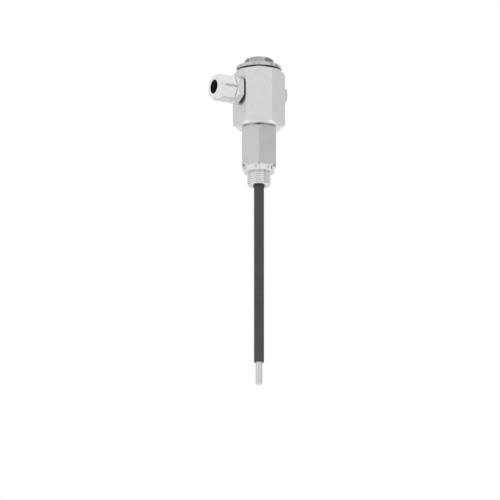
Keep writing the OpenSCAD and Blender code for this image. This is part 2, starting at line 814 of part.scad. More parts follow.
// Slotted earth screw in the chamber floor
module earth_screw() {
    head_d = 7;
    head_h = 2.6;
    slot_w = 1.1;
    slot_h = 1.2;
    end_gap = 0.5;
    color("silver") translate([0, earth_y, floor_z]) difference() {
        union() {
            translate([0, 0, -earth_screw_l + end_gap])
                cylinder(h = earth_screw_l + rod_washer_t, d = earth_screw_d - 2 * thread_gap);
            translate([0, 0, rod_washer_t]) cylinder(h = head_h, d = head_d);
        }
        translate([-head_d, -slot_w / 2, rod_washer_t + head_h - slot_h])
            cube([2 * head_d, slot_w, slot_h + eps]);
    }
}

housing();
process_connection();
neck_o_ring();
cover_gasket();
cover();
gland_washer();
gland_body();
gland_cage();
gland_seal();
gland_cap_nut();
plug_seal();
blanking_plug();
electrode_rod();
rod_sleeve();
lower_bush();
packing_ring_lower();
packing_ring_middle();
packing_ring_upper();
follower_bush();
thrust_washer();
disc_spring_lower();
disc_spring_upper();
compression_screw();
terminal_carrier();
carrier_screws();
rod_washer();
rod_nut();
ring_lug();
terminal_washer();
terminal_nut();
signal_lead();
terminal_block();
clamp_plates();
terminal_screws();
earth_screw();
earth_washer();
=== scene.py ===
"""Looks of a conductive level probe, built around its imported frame.

Shapes are worked out in millimetres and written to the meshes in metres, in the frame's own axes:
+Z up the rod, -X out of the cable gland, +X out of the blanking plug.
"""

import json
import logging
import math
from dataclasses import dataclass
from enum import Enum
from functools import cache
from typing import Optional, Sequence

import bmesh
import bpy
import numpy as np
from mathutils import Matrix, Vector


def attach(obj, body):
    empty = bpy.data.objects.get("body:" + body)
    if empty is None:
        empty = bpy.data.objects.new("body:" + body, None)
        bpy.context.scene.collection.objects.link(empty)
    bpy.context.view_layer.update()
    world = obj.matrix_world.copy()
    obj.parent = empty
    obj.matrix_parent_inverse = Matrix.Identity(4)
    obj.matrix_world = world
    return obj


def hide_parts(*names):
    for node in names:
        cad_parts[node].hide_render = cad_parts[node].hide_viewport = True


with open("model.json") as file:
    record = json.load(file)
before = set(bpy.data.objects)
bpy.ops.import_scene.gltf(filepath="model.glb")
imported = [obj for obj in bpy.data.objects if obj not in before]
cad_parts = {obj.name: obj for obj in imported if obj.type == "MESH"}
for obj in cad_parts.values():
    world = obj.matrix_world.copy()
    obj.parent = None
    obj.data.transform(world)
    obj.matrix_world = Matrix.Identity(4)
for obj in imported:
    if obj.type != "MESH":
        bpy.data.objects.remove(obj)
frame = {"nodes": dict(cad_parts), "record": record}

LOG = logging.getLogger("probe")
MM = 0.001
Array = np.ndarray
Piece = bpy.types.Object
Socket = bpy.types.NodeSocket
Pair = tuple[float, float]
Triple = tuple[float, float, float]
Row = tuple[float, float, float, float]

# Heights of the head's two faces, the ports' axis, the chamber's floor and the terminal carrier's top
HEAD_Z = 41.0
TOP_Z = 92.8
PORT_Z = 72.6
FLOOR_Z = HEAD_Z + 17
CARRIER_Z = HEAD_Z + 21
# Places across the rod's axis of the carrier's screws, as a radius and two headings, and the earth screw
CARRIER_SCREW_R = 11.0
CARRIER_HEADINGS = (-20.0, 200.0)
EARTH_SPOT = (0.0, -10.9)
# Rises of the chamfers
RISE_30, RISE_35, RISE_42 = (math.tan(math.radians(angle)) for angle in (30, 35, 42))
# Radius of a profile's corner that lies on the wall of the flats, and the angle of one side of a hexagon
FLUSH = -1.0
SECTOR = math.pi / 3
# Rounding where two walls meet, and a radius beyond every wall
MERGE = 0.3
BEYOND = 100
# Corners of a square in order, least angle between faces that makes a sharp edge, steps round a
# drilled hole, and half the length of the bar that cuts a slot
SQUARE = ((-1, -1), (1, -1), (1, 1), (-1, 1))
SHARP = math.radians(35)
HOLE_STEPS = 96
SLOT_HALF = 12.0


class Axis(Enum):
    """Axis that a piece stands on, as the side of X that its own +Z points to, or 0 up the rod."""

    UP = 0
    GLAND = -1
    PLUG = 1

    def place(self, points: Array) -> Array:
        """Carries points from a piece's own axes, +Z along its length, into the frame.

        On the gland's axis (x, y, z) becomes (-z, y, x), on the plug's (z, y, -x), and both are
        raised by the port's height.

        Args:
            points: Array of shape (..., 3) in millimetres.

        Returns:
            The same in the frame's axes.
        """
        if self is Axis.UP:
            return points
        x, y, z = np.moveaxis(points, -1, 0)
        return np.stack([self.value * z, y, PORT_Z - self.value * x], axis=-1)

    @property
    def mapping(self) -> tuple[Vector, Vector]:
        """Location and rotation of the Mapping node that undoes place() on Object coordinates."""
        return Vector((self.value * PORT_Z * MM, 0, 0)), Vector((0, -self.value * math.pi / 2, 0))


# Profiles and surfaces


@dataclass(frozen=True)
class Flats:
    """Spanner flats of a hexagonal bar.

    Args:
        across: Width across the flats.
        corner: Heading of one corner in degrees.
        edge: Rounding of the corners.
        corner_r: Greatest radius.
        start: Height below which the bar is left round.
    """

    across: float
    corner: float
    edge: float
    corner_r: float = math.inf
    start: float = -math.inf

    def radius(self, theta: Array) -> Array:
        """Distance from the axis to the wall at each angle.

        It is half the width over the cosine of the angle to a flat's middle, the smooth least of
        the two nearest flats, and no more than corner_r.

        Args:
            theta: Angles round the axis in radians.

        Returns:
            The wall's radius at each.
        """
        turned_by = np.mod(theta - math.radians(self.corner), SECTOR)
        near = self.across / 2 / np.cos(turned_by - SECTOR / 2)
        other = np.where(turned_by < SECTOR / 2, turned_by + SECTOR / 2, turned_by - 1.5 * SECTOR)
        far = self.across / 2 / np.maximum(np.cos(other), 0.1)
        return smooth_least(smooth_least(near, far, self.edge), self.corner_r, MERGE / 2)


@dataclass(frozen=True)
class Thread:
    """Right-hand screw thread cut in, or standing on, a wall of the profile.

    Args:
        major: Major radius.
        pitch: Pitch.
        low: Height where the thread starts.
        high: Height where it ends.
        share: Depth as a share of the pitch.
        crest: Width of the flat crest as a share of the pitch.
        run_out: Length over which the thread fades.
    """

    major: float
    pitch: float
    low: float
    high: float
    share: float = 0.6
    crest: float = 0.12
    run_out: float = 0.5

    def radius(self, theta: Array, z: Array) -> Array:
        """Radius of the thread's form at each angle and height.

        The phase is height over pitch less the share of a turn. A triangle wave of the phase, its
        crest and root cut flat, takes up to the depth off the major radius, and fades at the ends.

        Args:
            theta: Angles round the axis in radians.
            z: Heights along it.

        Returns:
            The radius at each angle and height.
        """
        phase = np.mod(z / self.pitch - theta / (2 * math.pi), 1.0)
        wave = np.clip((np.abs(2 * phase - 1) - 0.1) / (0.9 - self.crest), 0.0, 1.0)
        fade = np.clip(np.minimum(z - self.low, self.high - z) / self.run_out, 0.0, 1.0)
        return self.major - self.share * self.pitch * (1 - wave) * fade


def smooth_least(a: Array, b: Array | float, width: float) -> Array:
    """Least of two fields, rounded where they differ by less than width.

    The rounding takes off width / 4 times the square of one less the difference over the width.
    """
    blend = np.maximum(width - np.abs(a - b), 0.0) / width
    return np.minimum(a, b) - blend * blend * width / 4


def sample_profile(rows: Sequence[Row], closed: bool, mean_r: float) -> Array:
    """Samples a profile: straight runs in equal steps, with a quadratic curve round each corner.

    Args:
        rows: Each corner's radius or FLUSH, height, length that its rounding takes from each side
            and greatest step on the side that follows. The metal is on the left, seen from +Y.
        closed: Whether the last corner joins the first.
        mean_r: Radius that stands for FLUSH where lengths are measured.

    Returns:
        Array of rows (fixed radius, share of the flats' radius, height, nominal radius).
    """
    radius, height, soft, step = np.array(rows, dtype=float).T
    if not closed:
        soft[[0, -1]] = 0.0
    flush = radius == FLUSH
    spots = np.column_stack([np.where(flush, 0.0, radius), flush, height, np.where(flush, mean_r, radius)])
    sides = np.roll(spots, -1, axis=0) - spots
    length = np.hypot(sides[:, 2], sides[:, 3])
    before = np.roll(length, 1)
    starts = spots - np.roll(sides, 1, axis=0) * (np.minimum(soft, 0.45 * before) / before)[:, None]
    ends = spots + sides * (np.minimum(soft, 0.45 * length) / length)[:, None]
    curve = np.linspace(0, 1, 5)[:, None]
    samples = []
    for i, (spot, start, end) in enumerate(zip(spots, starts, ends)):
        if np.allclose(start, end):
            samples.append(spot[None])
        else:
            samples.append((1 - curve) ** 2 * start + 2 * curve * (1 - curve) * spot + curve ** 2 * end)
        if closed or i + 1 < len(spots):
            run = starts[(i + 1) % len(spots)] - end
            pieces = max(1, math.ceil(np.hypot(*run[2:]) / step[i]))
            samples.append(end + np.linspace(0, 1, pieces + 1)[1:-1, None] * run)
    return np.concatenate(samples)


def angles(flats: Optional[Flats], plain: int) -> Array:
    """Angles of the surface's columns, crowded at the corners of any flats.

    Args:
        flats: The piece's flats.
        plain: Number of equal steps where there are none.

    Returns:
        Angles in radians that rise through one turn.
    """
    if flats is None:
        return np.arange(plain) * (2 * math.pi / plain)
    near = np.radians([0.0, 0.25, 0.5, 0.8, 1.15, 1.6])
    middle = np.linspace(near[-1], SECTOR - near[-1], 22)[1:-1]
    one = np.concatenate([near, middle, SECTOR - near[:0:-1]])
    turns = math.radians(flats.corner) + np.arange(6) * SECTOR
    return (turns[:, None] + one[None]).ravel()


def linked(name: str, data: bpy.types.ID) -> Piece:
    """Puts a mesh, lamp or camera in the scene.

    Args:
        name: Name of the object.
        data: Its mesh, lamp or camera.

    Returns:
        The object.
    """
    thing = bpy.data.objects.new(name, data)
    bpy.context.scene.collection.objects.link(thing)
    return thing


def smoothed(mesh: bpy.types.Mesh) -> None:
    """Shades every face of a mesh smooth."""
    mesh.polygons.foreach_set("use_smooth", np.ones(len(mesh.polygons), dtype=bool))


def write_grid(name: str, grid: Array, closed: bool, masks: Optional[Array] = None) -> Piece:
    """Makes a mesh of a grid that closes round its columns.

    Args:
        name: Name of the piece.
        grid: Points of shape (rows, columns, 3) in millimetres.
        closed: Whether the last row joins the first, and otherwise each end is drawn to a pole.
        masks: Values of shape (rows, columns), kept as the point attribute "turned".

    Returns:
        The piece.
    """
    rows, columns = grid.shape[:2]
    points = grid.reshape(-1, 3)
    mask = np.zeros(len(points)) if masks is None else masks.reshape(-1)
    i = np.arange(rows if closed else rows - 1)[:, None]
    j = np.arange(columns)[None]
    up, across = (i + 1) % rows, (j + 1) % columns
    quads = [i * columns + j, i * columns + across, up * columns + across, up * columns + j]
    faces = np.stack(quads, axis=-1).reshape(-1, 4).tolist()
    if not closed:
        low, high = len(points), len(points) + 1
        points = np.concatenate([points, grid[0].mean(0)[None], grid[-1].mean(0)[None]])
        mask = np.concatenate([mask, [mask[0], mask[-1]]])
        ring, top = np.arange(columns), (rows - 1) * columns
        after = (ring + 1) % columns
        faces += np.stack([after, ring, np.full(columns, low)], axis=-1).tolist()
        faces += np.stack([top + ring, top + after, np.full(columns, high)], axis=-1).tolist()
    mesh = bpy.data.meshes.new(name)
    mesh.from_pydata((points * MM).tolist(), [], faces)
    mesh.validate()
    smoothed(mesh)
    turned_share = mesh.attributes.new("turned", "FLOAT", "POINT")
    turned_share.data.foreach_set("value", mask.astype(np.float32))
    mesh.update()
    return linked(name, mesh)


def turned(name: str, rows: Sequence[Row], axis: Axis = Axis.UP, flats: Optional[Flats] = None,
           threads: Sequence[Thread] = (), plain: int = 128) -> Piece:
    """Piece turned on a lathe, with flats milled on it and threads cut in it.

    The radius at an angle and a sample of the profile is the profile's own, held by a smooth least
    inside the flats, and by a plain least inside each thread's form.

    Args:
        name: Name of the piece.
        rows: The profile, as sample_profile takes it. It starts and ends on the axis, or closes
            on itself round a bore.
        axis: Axis that the piece stands on.
        flats: Spanner flats.
        threads: Screw threads.
        plain: Steps round a piece without flats.

    Returns:
        The piece.
    """
    closed = rows[0][0] != 0
    theta = angles(flats, plain)[None]
    samples = sample_profile(rows, closed, flats.across / 2 if flats else 0.0)
    fixed, share, z, nominal = (samples[:, k, None] for k in range(4))
    mask = np.ones((len(samples), theta.shape[1]))
    r = fixed + 0 * theta
    if flats:
        wall = flats.radius(theta) + BEYOND * (z < flats.start)
        r = np.where(share > 0, np.minimum(fixed + share * wall, wall), smooth_least(r, wall, MERGE))
        mask = np.clip((wall - 0.25 - r) / MERGE + 0.5, 0.0, 1.0)
    for thread in threads:
        root = thread.major - thread.share * thread.pitch
        on_wall = (z > thread.low) & (z < thread.high) & (nominal > root) & (nominal < thread.major + 0.02)
        r = np.where(on_wall, np.minimum(r, thread.radius(theta, z)), r)
    grid = np.stack([r * np.cos(theta), r * np.sin(theta), z + 0 * theta], axis=-1)
    if not closed:
        grid, mask = grid[1:-1], mask[1:-1]
    return write_grid(name, axis.place(grid), closed, mask)


def ring(name: str, radii: Pair, heights: Pair, soft: Row, steps: Pair = (0.5, 0.3), axis: Axis = Axis.UP,
         plain: int = 72) -> Piece:
    """Flat ring.

    Args:
        name: Name of the piece.
        radii: Inner and outer radius.
        heights: Heights of the faces.
        soft: Rounding of the inner low, outer low, outer high and inner high corner.
        steps: Greatest step across the faces and up the walls.
        axis: Axis that it stands on.
        plain: Steps round it.

    Returns:
        The piece.
    """
    (inner, outer), (low, high) = radii, heights
    rows = zip((inner, outer, outer, inner), (low, low, high, high), soft, steps * 2)
    return turned(name, list(rows), axis, plain=plain)


def washer(name: str, radii: Pair, low: float, thick: float = 1.0) -> Piece:
    """Plain stamped washer with one rounded rim."""
    return ring(name, radii, (low, low + thick), (0.1, 0.08, 0.3, 0.1))


def drilled(piece: Piece, holes: Sequence[Piece]) -> Piece:
    """Cuts holes out of a piece with exact booleans, and drops the cutters.

    Args:
        piece: The piece to drill.
        holes: Closed cutters.

    Returns:
        The piece.
    """
    for hole in holes:
        cut = piece.modifiers.new(hole.name, "BOOLEAN")
        cut.operation, cut.solver, cut.object = "DIFFERENCE", "EXACT", hole
    graph = bpy.context.evaluated_depsgraph_get()
    mesh = bpy.data.meshes.new_from_object(piece.evaluated_get(graph))
    piece.modifiers.clear()
    piece.data = mesh
    for hole in holes:
        bpy.data.objects.remove(hole, do_unlink=True)
    smoothed(mesh)
    mesh.set_sharp_from_angle(angle=SHARP)
    return piece


def polar(radius: float, degrees: float) -> Pair:
    """Place across an axis at a radius and an angle."""
    return radius * math.cos(math.radians(degrees)), radius * math.sin(math.radians(degrees))


def prism(name: str, outline: Array, low: float, high: float, axis: Axis = Axis.UP) -> Piece:
    """Closed cutter with an outline across an axis, between two heights on it."""
    grid = np.stack([np.column_stack([outline, np.full(len(outline), z)]) for z in (low, high)])
    return write_grid(name, axis.place(grid), closed=False)


def cutter(name: str, radius: float, low: float, high: float, axis: Axis = Axis.UP,
           at: Pair = (0, 0)) -> Piece:
    """Closed round cutter between two heights on an axis, at a place across it.

    Args:
        name: Name of the cutter.
        radius: Radius of the hole.
        low: Height of one end.
        high: Height of the other.
        axis: Axis that it stands on.
        at: Place of its middle across the axis.

    Returns:
        The cutter.
    """
    theta = np.arange(HOLE_STEPS) * (2 * math.pi / HOLE_STEPS)
    outline = np.stack([at[0] + radius * np.cos(theta), at[1] + radius * np.sin(theta)], axis=-1)
    return prism(name, outline, low, high, axis)


def groove(name: str, width: float, low: float, high: float, degrees: float = 0.0) -> Piece:
    """Closed bar across the Z axis that cuts a screw's slot.

    Args:
        name: Name of the cutter.
        width: Width of the slot.
        low: Height of the slot's floor.
        high: Height that the cutter reaches.
        degrees: Heading of the slot.

    Returns:
        The cutter.
    """
    along, across = SLOT_HALF * np.array(polar(1.0, degrees)), width / 2 * np.array(polar(1.0, degrees + 90))
    outline = np.array([along - across, along + across, across - along, -along - across])
    return prism(name, outline, low, high)


def joined(name: str, pieces: Sequence[Piece], places: Sequence[Pair]) -> Piece:
    """Makes one piece of several, each shifted to its place across the Z axis.

    Args:
        name: Name of the whole.
        pieces: The pieces, which are used up.
        places: Place of each across the axis, in millimetres.

    Returns:
        The whole.
    """
    form = bmesh.new()
    for piece, (x, y) in zip(pieces, places):
        start = len(form.verts)
        form.from_mesh(piece.data)
        form.verts.ensure_lookup_table()
        bmesh.ops.translate(form, vec=(x * MM, y * MM, 0), verts=form.verts[start:])
        bpy.data.objects.remove(piece, do_unlink=True)
    mesh = bpy.data.meshes.new(name)
    form.to_mesh(mesh)
    form.free()
    mesh.set_sharp_from_angle(angle=SHARP)
    return linked(name, mesh)


def softened(node: str, name: str, width: float) -> Piece:
    """Copies a node's solid, merges its flat faces and rounds its edges.

    Args:
        node: The node to copy.
        name: Name of the new piece.
        width: Length that the rounding takes from each side of an edge.

    Returns:
        The piece.
    """
    form = bmesh.new()
    form.from_mesh(frame["nodes"][node].data)
    bmesh.ops.remove_doubles(form, verts=form.verts, dist=0.001 * MM)
    bmesh.ops.dissolve_limit(form, angle_limit=math.radians(0.5), verts=form.verts, edges=form.edges)
    mesh = bpy.data.meshes.new(name)
    form.to_mesh(mesh)
    form.free()
    smoothed(mesh)
    piece = linked(name, mesh)
    edges = piece.modifiers.new("edges", "BEVEL")
    edges.width, edges.segments, edges.limit_method = width * MM, 2, "ANGLE"
    edges.angle_limit, edges.harden_normals = math.radians(34), True
    return piece


def swept(name: str, path: Array, radius: float, sides: int = 24) -> Piece:
    """Round bar along a path, closed at both ends.

    Each ring lies square to the path, its first direction level: the cross product of +Z and the
    path's direction. A ring's point is the path's point plus the radius times the cosine of its
    angle along that direction and the sine along the one square to both.

    Args:
        name: Name of the piece.
        path: Points of shape (rows, 3) in millimetres.
        radius: Radius of the bar.
        sides: Steps round it.

    Returns:
        The piece.
    """
    ahead = np.gradient(path, axis=0)
    ahead /= np.linalg.norm(ahead, axis=1, keepdims=True)
    level = np.cross([0.0, 0.0, 1.0], ahead)
    level /= np.linalg.norm(level, axis=1, keepdims=True)
    square = np.cross(ahead, level)
    turn = np.arange(sides)[None, :, None] * (2 * math.pi / sides)
    grid = path[:, None] + radius * (np.cos(turn) * level[:, None] + np.sin(turn) * square[:, None])
    return write_grid(name, grid, closed=False)


# Finishes


class Graph:
    """Node tree of one material or world, with short calls for the nodes that are used."""

    def __init__(self, name: str, kind: str = "materials") -> None:
        """Makes a new data block with its nodes.

        Args:
            name: Name of the data block.
            kind: Its collection: materials or worlds.
        """
        self.block = getattr(bpy.data, kind).new(name)
        self.block.use_nodes = True
        self.tree = self.block.node_tree
        self.shader = self.tree.nodes.get("Principled BSDF")

    def fill(self, node: bpy.types.Node, inputs: dict[str | int, object]) -> bpy.types.Node:
        """Fills a node's inputs, by name or number, with values or with other nodes' sockets.

        Args:
            node: The node.
            inputs: What goes in each input, by its name or number.

        Returns:
            The same node.
        """
        for key, value in inputs.items():
            socket = node.inputs[key.replace("_", " ") if isinstance(key, str) else key]
            if isinstance(value, Socket):
                self.tree.links.new(value, socket)
            else:
                socket.default_value = value
        return node

    def add(self, kind: str, *first: object, **named: object) -> bpy.types.Node:
        """Adds a node, and fills its first inputs in order and others by name."""
        node = self.tree.nodes.new(f"ShaderNode{kind}")
        return self.fill(node, {**dict(enumerate(first)), **named})

    def math(self, operation: str, *values: object, kind: str = "Math", output: int | str = 0) -> Socket:
        """Result of a node that works on numbers or vectors.

        Args:
            operation: What the node does.
            values: Its inputs in order.
            kind: Math, or VectorMath for vectors.
            output: The output that is wanted.

        Returns:
            The output's socket.
        """
        node = self.add(kind, *values)
        node.operation = operation
        return node.outputs[output]

    def times(self, first: object, *others: object) -> Socket:
        """Product of numbers.

        Args:
            first: A number or socket.
            others: What it is multiplied by.

        Returns:
            The product's socket.
        """
        for other in others:
            first = self.math("MULTIPLY", first, other)
        return first

    def scaled(self, vector: object, by: Triple) -> Socket:
        """A vector times another, part by part."""
        return self.math("MULTIPLY", vector, by, kind="VectorMath")

    def own_axes(self, axis: Axis) -> Socket:
        """Object coordinates turned into the piece's own axes.

        Args:
            axis: Axis that the piece stands on.

        Returns:
            The vector's socket.
        """
        place, turn = axis.mapping
        coordinates = self.add("TexCoord").outputs["Object"]
        return self.add("Mapping", Vector=coordinates, Location=place, Rotation=turn).outputs[0]

    def rings(self, own: object) -> Socket:
        """Vector of the distance from the axis and the height along it, for turning marks."""
        away = self.math("LENGTH", self.scaled(own, (1, 1, 0)), kind="VectorMath", output="Value")
        return self.add("CombineXYZ", X=away, Z=self.add("SeparateXYZ", own).outputs["Z"]).outputs[0]

    def noise(self, vector: object, scale: float, detail: float) -> Socket:
        """Fractal noise, from about 0.3 to 0.7, at a scale in cells for each metre."""
        return self.add("TexNoise", Vector=vector, Scale=scale, Detail=detail).outputs["Fac"]

    def spread(self, value: object, low: float, high: float) -> Socket:
        """Noise spread out between two limits."""
        node = self.add("MapRange", Value=value, From_Min=0.3, From_Max=0.7, To_Min=low, To_Max=high)
        return node.outputs["Result"]

    def between(self, share: object, a: float | Socket, b: float | Socket) -> Socket:
        """Number that goes from a to b with share."""
        return self.fill(self.add("Mix", share), {2: a, 3: b}).outputs[0]

    def tinted(self, shade: object, colour: Triple) -> Socket:
        """A colour times a shade that varies over the surface.

        Args:
            shade: Socket of the shade.
            colour: Red, green and blue.

        Returns:
            The colour's socket.
        """
        grey = self.add("CombineColor", shade, shade, shade).outputs[0]
        node = self.fill(self.add("Mix", 1.0), {6: grey, 7: (*colour, 1.0)})
        node.data_type, node.blend_type = "RGBA", "MULTIPLY"
        return node.outputs[2]

    def feed(self, **inputs: object) -> None:
        """Links sockets of the tree to the shader's inputs, or sets them where they are constant."""
        self.fill(self.shader, inputs)

    def relief(self, height: object, depth: float) -> None:
        """Feeds the shader's normal from a height field, depth in millimetres."""
        self.feed(Normal=self.add("Bump", Height=height, Distance=depth * MM, Strength=1.0).outputs[0])

    def show(self, kind: str, *inputs: object) -> None:
        """Shows a node's shader, in place of the one that a new data block shows."""
        output = next(node for node in self.tree.nodes if node.name.endswith("Output"))
        self.fill(output, {"Surface": self.add(kind, *inputs).outputs[0]})


@dataclass(frozen=True)
class Finish:
    """Look of a surface.

    Args:
        name: Name of the finish.
        colour: Reflected or body colour.
    """

    name: str
    colour: Triple

    @cache
    def material(self, axis: Axis) -> bpy.types.Material:
        """The finish's material for pieces that stand on an axis, made once.

        Args:
            axis: Axis that the pieces stand on.

        Returns:
            The material.
        """
        graph = Graph(f"{self.name}_{axis.name.lower()}")
        self.paint(graph, graph.own_axes(axis))
        return graph.block

    def paint(self, g: Graph, own: Socket) -> None:
        """Feeds the graph's shader from the piece's own axes."""
        raise NotImplementedError


@dataclass(frozen=True)
class Machined(Finish):
    """Bare steel, drawn or milled on its flats and turned elsewhere.

    Args:
        turned_highlight: How much lighter a turned face is painted than a flat, a painted highlight for the
            light that turned faces and chamfers catch.
        rough: Roughness of the flats.
        smooth: Roughness of the turned faces.
        marks: Depth of the grain and of the turning marks in millimetres.
    """

    turned_highlight: float = 1.1
    rough: float = 0.4
    smooth: float = 0.28
    marks: float = 0.006

    def paint(self, g: Graph, own: Socket) -> None:
        """Drawn grain along the flats, fine rings on turned faces, and a slow mottle on both, with turned
        faces painted lighter as a painted highlight.

        Args:
            g: Graph of the new material.
            own: Socket of the piece's own axes.
        """
        attribute = g.add("Attribute")
        attribute.attribute_name = "turned"
        mask = attribute.outputs["Fac"]
        drawn = g.noise(g.scaled(own, (1, 1, 0.03)), 5200, 2)
        lines = g.between(mask, drawn, g.noise(g.rings(own), 4200, 2))
        mottle = g.noise(own, 420, 4)
        cloud = g.noise(own, 70, 2)
        # The last factor is a painted highlight: turned faces and chamfers are made lighter than the flats.
        shade = g.times(g.spread(mottle, 0.97, 1.03), g.spread(cloud, 0.98, 1.02),
                        g.spread(lines, 0.95, 1.05), g.between(mask, 1.0, self.turned_highlight))
        rough = g.times(g.between(mask, self.rough, self.smooth), g.spread(mottle, 0.88, 1.12))
        g.relief(lines, self.marks)
        g.feed(Metallic=1.0, Base_Color=g.tinted(shade, self.colour), Roughness=rough)


@dataclass(frozen=True)
class Plated(Finish):
    """Bright plate or polished metal, with the faint ripple of the metal below.

    Args:
        rough: Roughness.
        ripple: Depth of the ripple in millimetres.
    """

    rough: float
    ripple: float = 0.02

    def paint(self, g: Graph, own: Socket) -> None:
        """Slow ripple for the relief and a fine mottle for colour and roughness.

        Args:
            g: Graph of the new material.
            own: Socket of the piece's own axes.
        """
        mottle = g.noise(own, 900, 4)
        marks = g.times(g.noise(g.rings(own), 3800, 2), 0.12)
        g.relief(g.math("ADD", g.noise(own, 260, 2), marks), self.ripple)
        rough = g.times(g.spread(mottle, 0.8, 1.25), self.rough)
        g.feed(Metallic=1.0, Base_Color=g.tinted(g.spread(mottle, 0.96, 1.03), self.colour), Roughness=rough)


@dataclass(frozen=True)
class Moulded(Finish):
    """Plastic or rubber, moulded, turned or extruded.

    Args:
        rough: Roughness.
        texture: Depth of the surface texture in millimetres.
        stretch: Stretch of the texture along the piece's axis.
    """

    rough: float
    texture: float = 0.02
    stretch: float = 1.0

    def paint(self, g: Graph, own: Socket) -> None:
        """Fine grain for the relief, and cloudy bloom for colour and roughness.

        Args:
            g: Graph of the new material.
            own: Socket of the piece's own axes.
        """
        grain = g.noise(g.scaled(own, (1, 1, 1 / self.stretch)), 1800, 3)
        bloom = g.noise(g.scaled(own, (1, 1, 0.4)), 120, 4)
        shade = g.times(g.spread(bloom, 0.88, 1.12), g.spread(grain, 0.92, 1.08))
        g.relief(grain, self.texture)
        rough = g.times(g.spread(bloom, 0.88, 1.14), self.rough)
        g.feed(Base_Color=g.tinted(shade, self.colour), Roughness=rough)


# bright in each machined finish is the painted highlight on its turned faces and chamfers.
FINISHES: dict[str, Finish] = {finish.name: finish for finish in (
    Machined("head_steel", (0.75, 0.75, 0.748), turned_highlight=1.17, smooth=0.2),
    Machined("neck_steel", (0.6, 0.6, 0.598), turned_highlight=1.28, smooth=0.17),
    Machined("cover_steel", (0.525, 0.525, 0.522), turned_highlight=1.05, rough=0.2, smooth=0.25),
    Plated("nickel_plate", (0.785, 0.78, 0.772), rough=0.1, ripple=0.05),
    Machined("plug_steel", (0.67, 0.67, 0.66), smooth=0.3),
    Machined("rod_steel", (0.62, 0.62, 0.61), smooth=0.3),
    Machined("spring_steel", (0.28, 0.28, 0.3), smooth=0.32),
    Machined("seal_ring_metal", (0.55, 0.55, 0.55), smooth=0.45),
    Plated("zinc_screw", (0.68, 0.69, 0.71), rough=0.24),
    Plated("tinned_copper", (0.72, 0.71, 0.68), rough=0.3),
    Plated("terminal_brass", (0.74, 0.58, 0.3), rough=0.26),
    Moulded("black_rubber", (0.018, 0.018, 0.018), rough=0.62),
    Moulded("black_nylon", (0.022, 0.022, 0.022), rough=0.45),
    Moulded("black_bush", (0.042, 0.042, 0.043), rough=0.42),
    Moulded("sleeve_plastic", (0.055, 0.055, 0.057), rough=0.42, stretch=14, texture=0.015),
    Moulded("white_ptfe", (0.82, 0.82, 0.8), rough=0.45),
    Moulded("ivory_plastic", (0.72, 0.69, 0.6), rough=0.42),
    Moulded("lead_insulation", (0.03, 0.08, 0.4), rough=0.3),
)}


class Dresser:
    """Gives pieces and nodes their finishes, and says which body each one rides on."""

    def __init__(self, record: dict) -> None:
        """Reads each node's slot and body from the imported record.

        Args:
            record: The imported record.
        """
        bodies = record["behaviour"]["bodies"].items()
        self.slots: dict[str, str] = {part["node"]: part["material_slot"] for part in record["subparts"]}
        self.bodies: dict[str, str] = {node: body for body, nodes in bodies for node in nodes}

    def fit(self, piece: Piece, node: str, axis: Axis) -> None:
        """Lets a piece stand for a node, on its body and with its finish.

        Args:
            piece: The new piece.
            node: Name of the node that it replaces.
            axis: Axis that the finish's marks run round.
        """
        piece.data.materials.clear()
        piece.data.materials.append(FINISHES[self.slots[node]].material(axis))
        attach(piece, self.bodies[node])
        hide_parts(node)
        LOG.info("%s stands for %s: %d faces", piece.name, node, len(piece.data.polygons))


# Sub-assemblies


class Assembly:
    """Part of the probe whose pieces stand on one axis."""

    axis = Axis.UP

    def pieces(self) -> dict[str, Piece]:
        """Builds the pieces, and names the node that each stands for."""
        raise NotImplementedError

    def dress(self, dresser: Dresser) -> None:
        """Builds the pieces and fits each one in place of its node."""
        for node, piece in self.pieces().items():
            dresser.fit(piece, node, self.axis)


